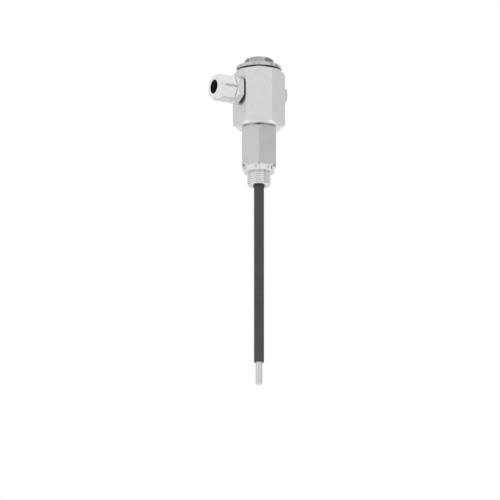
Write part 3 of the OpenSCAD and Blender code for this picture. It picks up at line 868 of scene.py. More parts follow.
@dataclass
class Head(Assembly):
    """Hexagonal terminal head, bored from both ends and drilled for the two ports."""

    across: float = 40.0
    top_face_r: float = 19.4
    bottom_face_r: float = 19.3
    beyond_r: float = 24.0
    chamber_r: float = 15.5
    floor_low: float = HEAD_Z + 11
    floor_hole_r: float = 8.3
    cover_r: float = 16.5
    thread_z: float = TOP_Z - 8
    spigot_r: float = 12.0
    seal_seat: Pair = (13.0, HEAD_Z + 2.2)
    gland_hole_r: float = 10.0
    plug_hole_r: float = 6.0
    port_start: float = 5.0
    earth_hole: Pair = (2.0, FLOOR_Z - 4)
    carrier_hole: Pair = (1.5, FLOOR_Z - 3.5)

    def pieces(self) -> dict[str, Piece]:
        """The hexagon with its end chamfers, its bores and the two ports.

        Returns:
            The head, by its node.
        """
        beyond, bottom, top = self.beyond_r, self.bottom_face_r, self.top_face_r
        cover, spigot, chamber, hole = self.cover_r, self.spigot_r, self.chamber_r, self.floor_hole_r
        seat_r, seat_z = self.seal_seat
        rows = [
            (seat_r, HEAD_Z, 0.2, 1.5), (bottom, HEAD_Z, 0.2, 0.16),
            (beyond, HEAD_Z + (beyond - bottom) * RISE_30, 0.2, 1.6),
            (beyond, TOP_Z - (beyond - top) * RISE_42, 0.2, 0.16),
            (top, TOP_Z, 0.2, 1), (cover + 0.4, TOP_Z, 0.1, 0.3), (cover, TOP_Z - 0.4, 0.1, 0.13),
            (cover, self.thread_z, 0.1, 0.5), (chamber, self.thread_z, 0.1, 1.6),
            (chamber, FLOOR_Z, 0.4, 1.5), (hole, FLOOR_Z, 0.15, 1.5), (hole, self.floor_low, 0.15, 1.5),
            (spigot, self.floor_low, 0.2, 0.13), (spigot, seat_z, 0.1, 0.5), (seat_r, seat_z, 0.1, 0.8),
        ]
        threads = [
            Thread(cover, 1.5, self.thread_z + 0.3, TOP_Z - 0.4),
            Thread(spigot, 1.5, seat_z + 0.3, self.floor_low - 0.8),
        ]
        body = turned("head_body", rows, self.axis, Flats(self.across, 30, 0.4), threads)
        return {"housing": drilled(body, [
            cutter("gland_port", self.gland_hole_r, self.port_start, self.across, Axis.GLAND),
            cutter("plug_port", self.plug_hole_r, self.port_start, self.across, Axis.PLUG),
            cutter("earth_hole", *self.earth_hole, FLOOR_Z + 1, at=EARTH_SPOT),
            *(cutter("carrier_hole", *self.carrier_hole, FLOOR_Z + 1, at=polar(CARRIER_SCREW_R, heading))
              for heading in CARRIER_HEADINGS),
        ])}


@dataclass
class Neck(Assembly):
    """Neck hexagon, turned collar, process thread and spigot in one turned piece, and its O-ring."""

    across: float = 30.0
    thread_r: float = 10.4775
    thread_low: float = -11.8
    pitch: float = 1.814
    end_chamfer: float = 1.0
    undercut: Pair = (9.6, -1.3)
    collar: Pair = (14.1, 4.4)
    face_r: float = 14.3
    top_face_r: float = 14.6
    beyond_r: float = 17.6
    bush_r: float = 5.2
    box: Pair = (8.0, HEAD_Z - 32.6)
    groove: Pair = (11.0, HEAD_Z + 2.2)
    spigot: Pair = (11.95, HEAD_Z + 10)
    o_ring: Pair = (12.0, HEAD_Z + 1.025)
    o_ring_section: float = 0.975

    def pieces(self) -> dict[str, Piece]:
        """The turned piece and the O-ring in its groove."""
        return {"process_connection": self.body(), "neck_o_ring": self.seal()}

    def body(self) -> Piece:
        """The whole turned piece, its hexagon flush with the flats.

        Returns:
            The turned piece.
        """
        r, low, chamfer, bush = self.thread_r, self.thread_low, self.end_chamfer, self.bush_r
        (cut_r, cut_z), (collar_r, collar_h) = self.undercut, self.collar
        (groove_r, groove_z), (spigot_r, spigot_z) = self.groove, self.spigot
        face, top, beyond = self.face_r, self.top_face_r, self.beyond_r
        box_r, box_z = self.box
        cone = collar_h + (beyond - face) * RISE_30
        top_cone = HEAD_Z - (beyond - top) * RISE_30
        rows = [
            (bush, low, 0.2, 1), (r - chamfer, low, 0.15, 0.15), (r, low + chamfer, 0.1, 0.14),
            (r, cut_z, 0.15, 0.3), (cut_r, cut_z, 0.2, 0.4), (cut_r, 0.3, 0.2, 0.4),
            (r + 0.25, 0.3, 0.1, 0.3), (r + 0.25, 0, 0.1, 0.8), (collar_r - 0.9, 0, 0.2, 0.3),
            (collar_r, 0.9, 0.2, 0.8),
            (collar_r, collar_h, 0.05, 0.1), (face, collar_h, 0.1, 0.14), (beyond, cone, 0, 0.2),
            (FLUSH, cone + 0.5, 0, 1.8), (FLUSH, top_cone - 0.5, 0, 0.3), (beyond, top_cone, 0, 0.14),
            (top, HEAD_Z, 0.1, 1), (groove_r, HEAD_Z, 0.1, 0.5), (groove_r, groove_z, 0.1, 0.4),
            (spigot_r, groove_z, 0.1, 0.13), (spigot_r, spigot_z - 1, 0.1, 0.2),
            (spigot_r - 1, spigot_z, 0.1, 0.8), (box_r, spigot_z, 0.2, 1.6), (box_r, box_z, 0.2, 0.8),
            (bush, box_z, 0.2, 1.2),
        ]
        threads = [
            Thread(r, self.pitch, low - 1, cut_z + 0.1, 0.55, crest=0.3),
            Thread(spigot_r, 1.5, groove_z + 0.25, spigot_z + 1),
        ]
        return turned("neck_body", rows, self.axis, Flats(self.across, 0, 0.4), threads)

    def seal(self) -> Piece:
        """The O-ring squeezed between the spigot's groove and the head.

        Returns:
            The O-ring.
        """
        (r, z), section = self.o_ring, self.o_ring_section
        around = np.linspace(0, 2 * math.pi, 20, endpoint=False)
        rows = [(r + section * math.cos(t), z + section * math.sin(t), 0, 1) for t in around]
        return turned("neck_seal_ring", rows, plain=96)


@dataclass
class Cover(Assembly):
    """Screw cover with its flat seal."""

    rim: Pair = (19.8, TOP_Z + 1)
    cone_z: float = TOP_Z + 4.2
    cone_top: Pair = (12.98, TOP_Z + 5.7)
    top_z: float = TOP_Z + 11.3
    across: float = 23.0
    heading: float = 20.0
    corner_r: float = 13.1
    face_r: float = 10.7
    crown_r: float = 13.9
    skirt: Pair = (16.45, TOP_Z - 6.5)
    recess_r: float = 13.45

    def pieces(self) -> dict[str, Piece]:
        """The cover and the seal under its rim."""
        return {"cover": self.body(), "cover_gasket": self.seal()}

    def body(self) -> Piece:
        """Threaded skirt, rim, shallow cone and spanner hexagon, hollow from below.

        Returns:
            The cover.
        """
        (rim_r, rim_z), (skirt_r, skirt_z), (cone_r, hex_z) = self.rim, self.skirt, self.cone_top
        recess, cone_z, top_z = self.recess_r, self.cone_z, self.top_z
        edge_z = top_z - (self.crown_r - self.face_r) * RISE_35
        rows = [
            (0, cone_z, 0, 1.5), (recess, cone_z, 0.5, 1.5), (recess, skirt_z, 0.2, 0.6),
            (skirt_r - 0.8, skirt_z, 0.1, 0.2), (skirt_r, skirt_z + 0.8, 0.1, 0.13),
            (skirt_r, rim_z, 0.1, 0.8), (rim_r, rim_z, 0.15, 0.5), (rim_r, cone_z - 0.4, 0.2, 0.2),
            (rim_r - 0.4, cone_z, 0.25, 0.8),
            (cone_r, hex_z, 0.1, 0.3), (FLUSH, hex_z, 0.12, 0.4), (FLUSH, edge_z - 0.6, 0, 0.3),
            (self.crown_r, edge_z, 0, 0.16), (self.face_r, top_z, 0.15, 0.9), (0, top_z, 0, 1),
        ]
        threads = [Thread(skirt_r, 1.5, skirt_z - 1, TOP_Z - 0.3)]
        flats = Flats(self.across, self.heading, 0.3, self.corner_r, start=hex_z - 0.2)
        return turned("cover_body", rows, self.axis, flats, threads)

    def seal(self) -> Piece:
        """Flat rubber ring, its edge bulged a little where the rim presses it.

        Returns:
            The seal.
        """
        rim_r, rim_z = self.rim
        outer, inner, bulge = rim_r - 0.4, self.skirt[0] + 0.1, 0.12
        rows = [
            (inner, TOP_Z, 0.1, 0.6), (outer - bulge, TOP_Z, 0.1, 0.2),
            (outer, (TOP_Z + rim_z) / 2, 0.25, 0.2), (outer - bulge, rim_z, 0.1, 0.6),
            (inner, rim_z, 0.1, 0.4),
        ]
        return turned("cover_seal_ring", rows, plain=160)


@dataclass
class Gland(Assembly):
    """Cable gland on the head's -X side, its heights measured out along -X."""

    face: float = 20.0
    shoulder: float = 22.0
    hex_end: float = 28.0
    across: float = 24.0
    face_r: float = 11.8
    beyond_r: float = 14.4
    cap_seat_r: float = 11.2
    thread_r: float = 9.95
    bore_r: float = 6.4
    seat: Pair = (8.6, 35.5)
    entry_end: float = 14.0
    tail_end: float = 37.5
    cap: Pair = (28.4, 45.9)
    cap_across: float = 22.0
    cap_corner_r: float = 12.302
    cap_bore_r: float = 10.0
    cap_thread_l: float = 9.8
    cap_cone: Pair = (8.7, 9.0)
    nose_l: float = 4.2
    nose_r: float = 9.2
    hole_r: float = 6.25
    throat: float = 2.4
    washer: Pair = (10.2, 11.1)
    insert: Pair = (35.55, 43.45)
    insert_r: Pair = (6.0, 7.25)

    axis = Axis.GLAND

    def pieces(self) -> dict[str, Piece]:
        """Washer, gland, cap nut and sealing insert.

        Returns:
            The four pieces, by node.
        """
        washer = ring("gland_flat_seal", self.washer, (self.face, self.shoulder), (0.1, 0.2, 0.2, 0.1),
                      (0.8, 0.3), self.axis, 128)
        return {"gland_washer": washer, "gland_body": self.body(), "gland_cap_nut": self.cap_nut(),
                "gland_seal": self.sealing_insert()}

    def body(self) -> Piece:
        """Threaded entry, hexagon and threaded tail, bored for the cable.

        Returns:
            The gland's body.
        """
        r, bore, entry, tail, end = self.thread_r, self.bore_r, self.entry_end, self.tail_end, self.hex_end
        cone = end - (self.beyond_r - self.face_r) * RISE_30
        seat_r, seat_z = self.seat
        rows = [
            (bore, entry, 0.3, 1), (r - 0.6, entry, 0.1, 0.2), (r, entry + 0.6, 0.1, 0.13),
            (r, self.shoulder, 0.1, 0.6), (FLUSH, self.shoulder, 0.3, 0.5), (FLUSH, cone - 0.5, 0, 0.25),
            (self.beyond_r, cone, 0, 0.14), (self.face_r, end, 0.2, 0.3), (self.cap_seat_r, end, 0.05, 0.2),
            (self.cap_seat_r, end + 0.3, 0.1, 0.5), (r - 0.9, end + 0.3, 0.1, 0.3),
            (r - 0.9, end + 0.9, 0.2, 0.3), (r, end + 1.5, 0.1, 0.13), (r, tail - 0.8, 0.1, 0.2),
            (r - 0.8, tail, 0.1, 0.5),
            (seat_r, tail, 0.1, 0.5), (seat_r, seat_z, 0.1, 0.5), (bore, seat_z, 0.2, 1.5),
        ]
        threads = [Thread(r, 1.5, entry - 1, self.shoulder - 0.3), Thread(r, 1.5, end + 1.2, tail + 1)]
        return turned("gland_hex_body", rows, self.axis, Flats(self.across, 0, 0.5), threads)

    def cap_nut(self) -> Piece:
        """Domed cap nut: flats that run out in a nose with an elliptical outline.

        The nose's radius is the corner radius times the cosine of a rising angle, and its height
        grows with the sine, so that it ends at the nose's face.

        Returns:
            The cap nut.
        """
        (low, high), corner, hole, bore = self.cap, self.cap_corner_r, self.hole_r, self.cap_bore_r
        cone_high, cone_low = self.cap_cone
        end = math.acos(self.nose_r / corner)
        half_axis = self.nose_l / math.sin(end)
        nose_z, thread_end, throat_z = high - self.nose_l, low + self.cap_thread_l, high - self.throat
        nose = [
            (corner * math.cos(t), nose_z + half_axis * math.sin(t), 0.2, 0.3)
            for t in np.linspace(0.06, end, 12)[:-1]
        ]
        rows = [
            (bore, low, 0.2, 0.6), (FLUSH, low, 0.5, 0.4), (FLUSH, low + 1.5, 0, 0.3),
            (corner + 0.6, low + 2.2, 0, 0.8), (corner + 0.3, nose_z - 0.6, 0.3, 0.3), *nose,
            (self.nose_r, high, 0.6, 0.4), (hole, high, 0.3, 0.5), (hole, throat_z, 0.1, 0.5),
            (cone_high, throat_z, 0.2, 0.6), (cone_low, thread_end, 0.1, 0.4), (bore, thread_end, 0.1, 0.13),
        ]
        threads = [Thread(bore, 1.5, low + 0.3, thread_end - 0.3)]
        return turned("gland_cap", rows, self.axis, Flats(self.cap_across, 30, 0.9, corner), threads)

    def sealing_insert(self) -> Piece:
        """Rubber sealing insert, its mouth flared and its bore ribbed.

        The bore's radius is wider than the ribs by up to 0.12 mm, times the square of a sine with
        three waves over its length.

        Returns:
            The insert.
        """
        (low, high), (bore, outer) = self.insert, self.insert_r
        ribs = [
            (bore + 0.12 * math.sin(math.pi * 3 * t) ** 2, high - 0.6 - t * (high - low - 1.2), 0, 0.3)
            for t in np.linspace(0, 1, 25)
        ]
        rows = [
            (bore + 0.4, low, 0.1, 0.4), (outer, low, 0.15, 0.6), (outer, high, 0.15, 0.4),
            (bore + 0.5, high, 0.3, 0.3), *ribs,
        ]
        return turned("gland_insert_seal", rows, self.axis, plain=96)


@dataclass
class Plug(Assembly):
    """Blanking plug in the spare port, its heights measured out along +X."""

    seal: Pair = (20.0, 21.0)
    seal_r: Pair = (6.05, 9.0)
    head_end: float = 23.9
    across: float = 18.0
    face_r: float = 8.8
    beyond_r: float = 10.7
    shank_r: float = 5.95
    shank_end: float = 13.5

    axis = Axis.PLUG

    def pieces(self) -> dict[str, Piece]:
        """Soft metal ring, and the plug with its chamfered hexagon head and threaded shank.

        Returns:
            The ring and the plug, by node.
        """
        rounding = (0.15, 0.3, 0.3, 0.15)
        seal = ring("plug_seal_ring", self.seal_r, self.seal, rounding, axis=self.axis, plain=96)
        r, low, seat, high = self.shank_r, self.shank_end, self.seal[1], self.head_end
        cone = high - (self.beyond_r - self.face_r) * RISE_30
        rows = [
            (0, low, 0, 0.8), (r - 0.7, low, 0.1, 0.2), (r, low + 0.7, 0.1, 0.13), (r, seat, 0.1, 0.4),
            (FLUSH, seat, 0.2, 0.4), (FLUSH, cone - 0.4, 0, 0.2), (self.beyond_r, cone, 0, 0.12),
            (self.face_r, high, 0.2, 0.8), (0, high, 0, 0.8),
        ]
        threads = [Thread(r, 1.5, low - 1, seat - 0.3)]
        body = turned("plug_body", rows, self.axis, Flats(self.across, 0, 0.3), threads)
        return {"plug_seal": seal, "blanking_plug": body}


@dataclass
class Electrode(Assembly):
    """Steel rod with its insulating sleeve and the bush that carries it through the thread."""

    rod_r: float = 3.0
    tip_z: float = -192.0
    top_z: float = HEAD_Z + 35.3
    thread_z: float = 60.0
    collar: Triple = (5.5, HEAD_Z - 20.6, HEAD_Z - 18.1)
    sleeve_r: float = 4.5
    sleeve_z: Pair = (-172.0, HEAD_Z - 34.65)
    bush_r: float = 5.15
    bush_low: float = -12.8
    flange: Triple = (7.95, HEAD_Z - 32.6, HEAD_Z - 29.6)

    def pieces(self) -> dict[str, Piece]:
        """Rod, sleeve and bush."""
        return {"electrode_rod": self.rod(), "rod_sleeve": self.sleeve(), "lower_bush": self.bush()}

    def rod(self) -> Piece:
        """Rod with a thrust collar, and a thread for the nuts at its upper end.

        Returns:
            The rod.
        """
        r, tip, top, (collar_r, low, high) = self.rod_r, self.tip_z, self.top_z, self.collar
        rows = [
            (0, tip, 0, 0.5), (r - 0.6, tip, 0.3, 0.3), (r, tip + 0.6, 0.3, 4), (r, low, 0.1, 0.6),
            (collar_r, low, 0.2, 0.6), (collar_r, high, 0.2, 0.6), (r, high, 0.1, 4),
            (r, self.thread_z, 0, 0.1), (r, top - 0.6, 0.1, 0.1), (r - 0.6, top, 0.1, 0.5), (0, top, 0, 0.5),
        ]
        threads = [Thread(r, 1.0, self.thread_z + 1, top + 1)]
        return turned("rod_body", rows, threads=threads, plain=72)

    def sleeve(self) -> Piece:
        """Extruded sleeve, its ends trimmed square and its wall a hair uneven.

        The outer radius varies by two hundredths of a millimetre with two slow sines of height.

        Returns:
            The sleeve.
        """
        (low, high), bore, outer = self.sleeve_z, self.rod_r + 0.02, self.sleeve_r
        heights = np.linspace(low + 0.5, high - 0.5, 60)
        waves = 0.012 * np.sin(heights * 0.31) + 0.008 * np.sin(heights * 0.83 + 1.0) - 0.02
        rows = [
            (bore, low, 0.1, 0.5), (outer - 0.05, low, 0.35, 0.4),
            *((outer + wave, z, 0, 4) for wave, z in zip(waves, heights)),
            (outer - 0.05, high, 0.35, 0.5), (bore, high, 0.1, 4),
        ]
        return turned("sleeve_body", rows, plain=72)

    def bush(self) -> Piece:
        """Turned bush with a flange on the neck's shoulder and a rounded lower lip.

        Returns:
            The bush.
        """
        (flange_r, low, high), outer = self.flange, self.bush_r
        bore, rod_bore, step_z = self.sleeve_r + 0.03, self.rod_r + 0.02, self.flange[1] - 2
        rows = [
            (bore, self.bush_low, 0.15, 0.4), (outer, self.bush_low, 0.35, 1.5), (outer, low, 0.1, 0.6),
            (flange_r, low, 0.2, 0.6), (flange_r, high, 0.1, 0.8), (rod_bore, high, 0.1, 0.8),
            (rod_bore, step_z, 0.1, 0.5), (bore, step_z, 0.1, 1.5),
        ]
        return turned("bush_body", rows, plain=96)


@dataclass
class RodStack(Assembly):
    """Nuts and washers on the rod's upper end, above the terminal carrier."""

    across: float = 10.0
    rod_r: float = 3.02
    nut_t: float = 5.0
    face_r: float = 4.9
    beyond_r: float = 6.1
    nuts: Pair = (CARRIER_Z + 1, HEAD_Z + 28.8)
    washers: Pair = (CARRIER_Z, HEAD_Z + 27.8)
    washer_radii: tuple[Pair, Pair] = ((3.05, 6.0), (3.05, 5.0))

    def pieces(self) -> dict[str, Piece]:
        """The nuts and the washers that they press.

        Returns:
            Two nuts and two washers, by node.
        """
        names = ("rod", "terminal")
        nuts = {f"{name}_nut": self.nut(f"{name}_hex_nut", low) for name, low in zip(names, self.nuts)}
        return nuts | {
            f"{name}_washer": washer(f"{name}_flat_washer", radii, low)
            for name, radii, low in zip(names, self.washer_radii, self.washers)
        }

    def nut(self, name: str, low: float) -> Piece:
        """Hexagon nut, chamfered at both faces and tapped.

        Args:
            name: Name of the piece.
            low: Height of its lower face.

        Returns:
            The nut.
        """
        r, face, beyond, high = self.rod_r, self.face_r, self.beyond_r, low + self.nut_t
        rise = (beyond - face) * RISE_30
        rows = [
            (r + 0.3, low, 0.1, 0.4), (face, low, 0.1, 0.12), (beyond, low + rise, 0.1, 0.6),
            (beyond, high - rise, 0.1, 0.12), (face, high, 0.1, 0.4), (r + 0.3, high, 0.1, 0.2),
            (r, high - 0.3, 0.05, 0.1), (r, low + 0.3, 0.05, 0.2),
        ]
        threads = [Thread(r, 1.0, low + 0.3, high - 0.3)]
        return turned(name, rows, self.axis, Flats(self.across, 0, 0.2), threads)


@dataclass
class Packing(Assembly):
    """Stuffing box in the neck: chevron packing, follower bush, springs and their screw."""

    outer_r: float = 7.95
    rod_r: float = 3.02
    tube_r: float = 5.0
    bore_r: float = 5.05
    low: float = HEAD_Z - 29.6
    ring_t: float = 3.0
    ridge: float = 0.8
    collar: Pair = (5.52, 2.5)
    follower: Pair = (HEAD_Z - 20.6, HEAD_Z - 13.6)
    tube_top: float = HEAD_Z + 14
    thrust_t: float = 1.5
    spring_t: float = 1.0
    spring_cone: float = 1.1
    screw: Pair = (HEAD_Z - 7.9, HEAD_Z + 5.1)
    slot: float = 2.5

    def pieces(self) -> dict[str, Piece]:
        """The packing from below: rings, follower, thrust washer, two springs and their screw.

        Returns:
            The eight pieces, by node.
        """
        spring_z = self.follower[1] + self.thrust_t
        rings = {f"packing_ring_{part}": self.chevron(f"chevron_ring_{part}", place)
                 for place, part in enumerate(("lower", "middle", "upper"))}
        return rings | {
            "follower_bush": self.follower_bush(),
            "thrust_washer": washer(
                "thrust_flat_washer", (self.bore_r, self.outer_r), self.follower[1], self.thrust_t),
            "disc_spring_lower": self.spring("disc_spring_low", spring_z, 1),
            "disc_spring_upper": self.spring("disc_spring_high", self.screw[0], -1),
            "compression_screw": self.compression_screw(),
        }

    def chevron(self, name: str, place: int) -> Piece:
        """Packing ring, its ridges rounded and its lips thin.

        Args:
            name: Name of the piece.
            place: Its place from below, 0 to 2.

        Returns:
            The ring.
        """
        inner, outer, low = self.rod_r, self.outer_r, self.low + place * self.ring_t
        high, middle = low + self.ring_t, (outer + inner) / 2
        dip = 0 if place == 0 else self.ridge
        crown = 0 if place == 2 else self.ridge
        rows = [
            (inner, low, 0.1, 0.4), (middle, low + dip, 0.5, 0.4), (outer, low, 0.1, 0.4),
            (outer, high, 0.25, 0.4), (middle, high + crown, 0.5, 0.4), (inner, high, 0.25, 0.4),
        ]
        return turned(name, rows, plain=96)

    def follower_bush(self) -> Piece:
        """Flanged bush over the rod's collar, with the long tube that keeps the rod clear of steel.

        Returns:
            The bush.
        """
        (collar_r, collar_t), (low, high), top = self.collar, self.follower, self.tube_top
        inner, outer, tube, pocket = self.rod_r, self.outer_r, self.tube_r, low + collar_t
        rows = [
            (collar_r, low, 0.1, 0.5), (outer, low, 0.3, 1), (outer, high, 0.3, 0.6), (tube, high, 0.3, 2),
            (tube, top, 0.4, 0.5), (inner, top, 0.2, 3), (inner, pocket, 0.1, 0.6),
            (collar_r, pocket, 0.1, 0.6),
        ]
        return turned("follower_body", rows, plain=96)

    def spring(self, name: str, base: float, way: int) -> Piece:
        """Coned disc spring.

        Args:
            name: Name of the piece.
            base: Height of the outer rim's face.
            way: 1 for a spring that rises from its base, -1 for one that hangs from it.

        Returns:
            The spring.
        """
        inner, outer, cone, plate = self.bore_r, self.outer_r, self.spring_cone, self.spring_t
        corners = [(inner, cone), (outer, 0.0), (outer, plate), (inner, cone + plate)][::way]
        return turned(name, [(r, base + way * rise, 0.2, 0.4) for r, rise in corners], plain=96)

    def compression_screw(self) -> Piece:
        """Bored screw with a fine thread outside and a slot across its top.

        Returns:
            The screw.
        """
        inner, outer, (low, high) = self.bore_r, self.outer_r, self.screw
        rows = [
            (inner, low, 0.2, 0.6), (outer - 0.7, low, 0.1, 0.2), (outer, low + 0.7, 0.1, 0.11),
            (outer, high - 0.7, 0.1, 0.2), (outer - 0.7, high, 0.1, 0.5), (inner, high, 0.2, 1),
        ]
        piece = turned("packing_screw", rows, threads=[Thread(outer, 1.0, low + 0.4, high - 0.4)])
        return drilled(piece, [groove("packing_screw_slot", self.slot, high - self.slot, high + 1)])


@dataclass(frozen=True)
class Slotted:
    """Slotted screw that stands on the Z axis.

    Args:
        head_r: Radius of the head.
        seat: Height of the head's underside.
        head_h: Height of the head.
        slot: Width and depth of the slot.
        shank_r: Radius of the threaded shank, or 0 where the head is all there is.
        tip: Height of the shank's end.
    """

    head_r: float
    seat: float
    head_h: float
    slot: Pair
    shank_r: float = 0.0
    tip: float = 0.0

    def build(self, name: str, heading: float = 0.0) -> Piece:
        """Head with a rounded rim, shank with its thread, and the slot at a heading.

        Args:
            name: Name of the piece.
            heading: Heading of the slot in degrees.

        Returns:
            The screw.
        """
        r, tip, seat, head, top = self.shank_r, self.tip, self.seat, self.head_r, self.seat + self.head_h
        shank, threads = [(0, seat, 0, 0.5)], []
        if r:
            shank = [
                (0, tip, 0, 0.5), (r - 0.4, tip, 0.1, 0.2), (r, tip + 0.4, 0.1, 0.1), (r, seat, 0.05, 0.4),
            ]
            threads = [Thread(r, 0.6, tip - 1, seat - 0.6)]
        rows = [
            *shank, (head, seat, 0.1, 0.3), (head, top - 0.35, 0.3, 0.2), (head * 0.8, top, 0.5, 0.4),
            (0, top, 0, 0.5),
        ]
        piece = turned(name, rows, threads=threads, plain=48)
        width, depth = self.slot
        return drilled(piece, [groove(f"{name}_slot", width, top - depth, top + 1, heading)])


@dataclass
class Terminals(Assembly):
    """Screws, lead and washers in the wiring chamber."""

    carrier_screw: Slotted = Slotted(2.7, CARRIER_Z, 1.8, (0.9, 1.0), 1.45, FLOOR_Z - 3)
    clamp_screw: Slotted = Slotted(1.8, HEAD_Z + 26.8, 2.8, (0.7, 0.8))
    earth_screw: Slotted = Slotted(3.5, FLOOR_Z + 1, 2.6, (1.1, 1.2), 1.95, FLOOR_Z - 3.5)
    earth_washer: Pair = (2.15, 4.0)
    block_x: float = 2.6
    block_y: float = 10.25
    lead_r: float = 0.9
    lead_ends: tuple[Triple, Triple] = ((11.2, 0.0, FLOOR_Z + 11.6), (4.0, block_y, FLOOR_Z + 7))
    lead_pulls: Pair = (2.2, 8.0)

    def pieces(self) -> dict[str, Piece]:
        """Two screws in the carrier, two in the terminal block, the earth screw's set and the lead.

        Returns:
            The five pieces, by node.
        """
        held = [self.carrier_screw.build(f"carrier_screw_{k}", a) for k, a in enumerate(CARRIER_HEADINGS)]
        clamps = [self.clamp_screw.build(f"clamp_screw_{k}") for k in range(2)]
        flat = ring("earth_washer_blank", self.earth_washer, (FLOOR_Z, FLOOR_Z + 1), (0.1, 0.1, 0.3, 0.2))
        earth = self.earth_screw.build("earth_screw_blank")
        places = [polar(CARRIER_SCREW_R, heading) for heading in CARRIER_HEADINGS]
        wells = [(side * self.block_x, self.block_y) for side in (-1, 1)]
        return {
            "carrier_screws": joined("carrier_screw_pair", held, places),
            "terminal_screws": joined("clamp_screw_pair", clamps, wells),
            "earth_screw": joined("earth_slot_screw", [earth], [EARTH_SPOT]),
            "earth_washer": joined("earth_flat_washer", [flat], [EARTH_SPOT]),
            "signal_lead": self.lead(),
        }

    def lead(self) -> Piece:
        """Insulated lead from the lug's barrel to the terminal block.

        Its path is a cubic curve of a share t: each of four points times its usual share of t and
        one less t. It leaves the barrel and the wire hole along X.

        Returns:
            The lead.
        """
        a, d = (np.array(end) for end in self.lead_ends)
        b, c = (end + [pull, 0, 0] for end, pull in zip((a, d), self.lead_pulls))
        t = np.linspace(0, 1, 72)[:, None]
        path = (1 - t) ** 3 * a + 3 * (1 - t) ** 2 * t * b + 3 * (1 - t) * t ** 2 * c + t ** 3 * d
        return swept("lead_wire", path, self.lead_r)


@dataclass
class Copies(Assembly):
    """Moulded and pressed pieces, copied from their nodes' solids with rounded edges.

    Args:
        forms: By node, the piece's name, the width of the rounding and the axis of the marks.
    """

    forms: tuple[tuple[str, str, float, Axis], ...] = (
        ("gland_cage", "gland_clamp_cage", 0.15, Axis.GLAND),
        ("terminal_carrier", "carrier_disc", 0.25, Axis.UP),
        ("ring_lug", "lug_body", 0.12, Axis.UP),
        ("terminal_block", "block_body", 0.2, Axis.UP),
        ("clamp_plates", "clamp_plate_pair", 0.12, Axis.UP),
    )

    def dress(self, dresser: Dresser) -> None:
        """Copies the solids and fits each copy in place of its node."""
        for node, name, width, axis in self.forms:
            dresser.fit(softened(node, name, width), node, axis)


# Studio

# Lamps: name, place in metres, size in metres, power
LAMPS: tuple[tuple[str, Triple, float, float], ...] = (
    ("key_lamp", (-1.5, -2.3, 1.6), 1.6, 12),
    ("fill_lamp", (2.4, -1.0, 1.0), 1.4, 5),
    ("back_lamp", (0.6, 2.4, 1.8), 1.6, 8),
)

# Cards that only reflections see: name, heading of the middle from +X round to +Y, rise of the lower and
# of the upper edge and half of the width, all in degrees, and brightness from 0 to 1
CARDS: tuple[tuple[str, float, float, float, float, float], ...] = (
    ("room_right", 0, -8, 42, 22, 0.84),
    ("room_left_far", 135, -8, 42, 8.5, 0.7),
    ("room_left_near", 110, -8, 42, 3, 0.7),
    ("cover_right_card", 341, 2, 36, 6, 0.2),
    ("cover_left_card", 99, 2, 36, 8, 0.33),
    ("cover_front_card", 217, 4, 30, 5, 0.6),
    ("side_card", 310.8, -50, 60, 2.3, 0.03),
    ("high_card", 305.5, 22, 41, 4.5, 0.03),
    ("low_card", 300, -24, 7, 2.2, 0.03),
    ("gland_card", 300, 8, 21.5, 3.5, 0.77),
    ("corner_left_card", 80, -27, -9, 9, 0.78),
    ("corner_right_card", 40, -27, -9, 9, 0.78),
    ("under_card", 60, -23, -9, 9, 0.78),
    ("lens_card", 242.2, -50, 60, 1.5, 0.03),
    ("floor_left_card", 89, -38, -28, 7, 0.03),
    ("floor_right_card", 31, -38, -28, 7, 0.03),
)


def aimed(name: str, data: bpy.types.Camera | bpy.types.Light, place: Vector, back: Vector) -> Piece:
    """Puts a camera or lamp in the scene.

    Args:
        name: Name of the object.
        data: The camera or lamp.
        place: Its place in metres.
        back: Direction that its back is turned to.

    Returns:
        The object.
    """
    thing = linked(name, data)
    thing.location, thing.rotation_mode = place, "QUATERNION"
    thing.rotation_quaternion = back.to_track_quat("Z", "Y")
    return thing


def staged(name: str, corners: Sequence[Triple], material: bpy.types.Material) -> Piece:
    """Makes a sheet of one face for the studio.

    Args:
        name: Name of the sheet.
        corners: Its four corners in metres.
        material: Its material.

    Returns:
        The sheet.
    """
    mesh = bpy.data.meshes.new(name)
    mesh.from_pydata(corners, [], [(0, 1, 2, 3)])
    mesh.materials.append(material)
    sheet = linked(name, mesh)
    return sheet


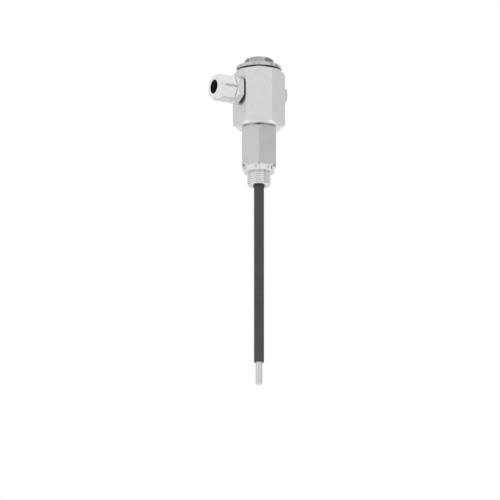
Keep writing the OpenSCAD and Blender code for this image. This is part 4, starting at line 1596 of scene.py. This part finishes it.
@dataclass
class Studio:
    """Camera, lamps, pale floor and the white surround."""

    azimuth: float = -30.0
    elevation: float = -15.3
    distance: float = 9.0
    scale: float = 0.878
    image_px: int = 500
    aim_z: float = -70.2
    aim_side: float = -7.9
    floor_z: float = -3.0
    floor_half: float = 12.0
    floor_glow: Pair = (0.6, 0.96)
    surround_light: Pair = (0.6, 1.0)
    card_distance: float = 2.2

    def camera(self) -> None:
        """Long lens at the photograph's azimuth and elevation, scaled to its millimetres a pixel."""
        turn, rise = math.radians(self.azimuth), math.radians(self.elevation)
        back = Vector((math.sin(turn) * math.cos(rise), -math.cos(turn) * math.cos(rise), math.sin(rise)))
        right = Vector((math.cos(turn), math.sin(turn), 0))
        data = bpy.data.cameras.new("view_camera")
        data.sensor_width = 36.0
        data.lens = self.distance * data.sensor_width / (self.image_px * self.scale * MM)
        data.clip_start, data.clip_end = 0.05, 60
        aim = Vector((0, 0, self.aim_z * MM)) + right * (self.aim_side * MM)
        bpy.context.scene.camera = aimed("view_camera", data, aim + back * self.distance, back)

    def light(self) -> None:
        """Soft square lamps that face the head."""
        for name, place, size, power in LAMPS:
            data = bpy.data.lights.new(name, "AREA")
            data.energy, data.size = power, size
            aimed(name, data, Vector(place), Vector(place)).visible_glossy = False

    def surround(self) -> None:
        """White for the camera and for reflections, and softer for the light that it sheds."""
        g = Graph("white_surround", "worlds")
        bpy.context.scene.world = g.block
        soft, white = (g.add("Background", (1, 1, 1, 1), light).outputs[0] for light in self.surround_light)
        path = g.add("LightPath").outputs
        seen = g.math("MAXIMUM", path["Is Camera Ray"], path["Is Glossy Ray"])
        g.show("MixShader", g.math("MAXIMUM", seen, path["Is Transmission Ray"]), soft, white)

    def floor(self) -> None:
        """Plain pale floor well below the probe, which hangs from its mount."""
        g = Graph("pale_floor")
        g.feed(Base_Color=(0.86, 0.86, 0.86, 1), Roughness=0.9)
        share = g.between(g.add("LightPath").outputs["Is Glossy Ray"], *self.floor_glow)
        g.show("MixShader", share, g.shader.outputs[0], g.add("Emission").outputs[0])
        corners = [(x * self.floor_half, y * self.floor_half, self.floor_z) for x, y in SQUARE]
        staged("floor", corners, g.block)

    def card(self, name: str, heading: float, low: float, high: float, half: float, light: float) -> None:
        """Card that only reflections see, square to a line from the probe.

        Args:
            name: Name of the card.
            heading: Heading of its middle in degrees, from +X to +Y.
            low: Rise of its lower edge in degrees.
            high: Rise of its upper edge in degrees.
            half: Half of its width in degrees.
            light: Its brightness, from 0 for black to 1 for the surround's white.
        """
        g = Graph(name)
        g.show("Emission", (light, light, light, 1))
        wide, foot, top = (self.card_distance * math.tan(math.radians(angle)) for angle in (half, low, high))
        (x, y), (dx, dy) = polar(self.card_distance, heading), polar(wide, heading + 90)
        corners = [(x + way * dx, y + way * dy, top if up > 0 else foot) for way, up in SQUARE]
        card = staged(name, corners, g.block)
        card.visible_camera = card.visible_shadow = card.visible_diffuse = False


def main() -> None:
    """Builds the sub-assemblies and the studio."""
    logging.basicConfig(level=logging.INFO, format="%(name)s: %(message)s")
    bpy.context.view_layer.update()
    dresser = Dresser(frame["record"])
    for part in (Head, Neck, Cover, Gland, Plug, Electrode, RodStack, Packing, Terminals, Copies):
        part().dress(dresser)

    studio = Studio()
    studio.camera()
    studio.light()
    studio.surround()
    studio.floor()
    for card in CARDS:
        studio.card(*card)
    bpy.context.scene.view_settings.view_transform = "Standard"


if __name__ == "__main__":
    main()
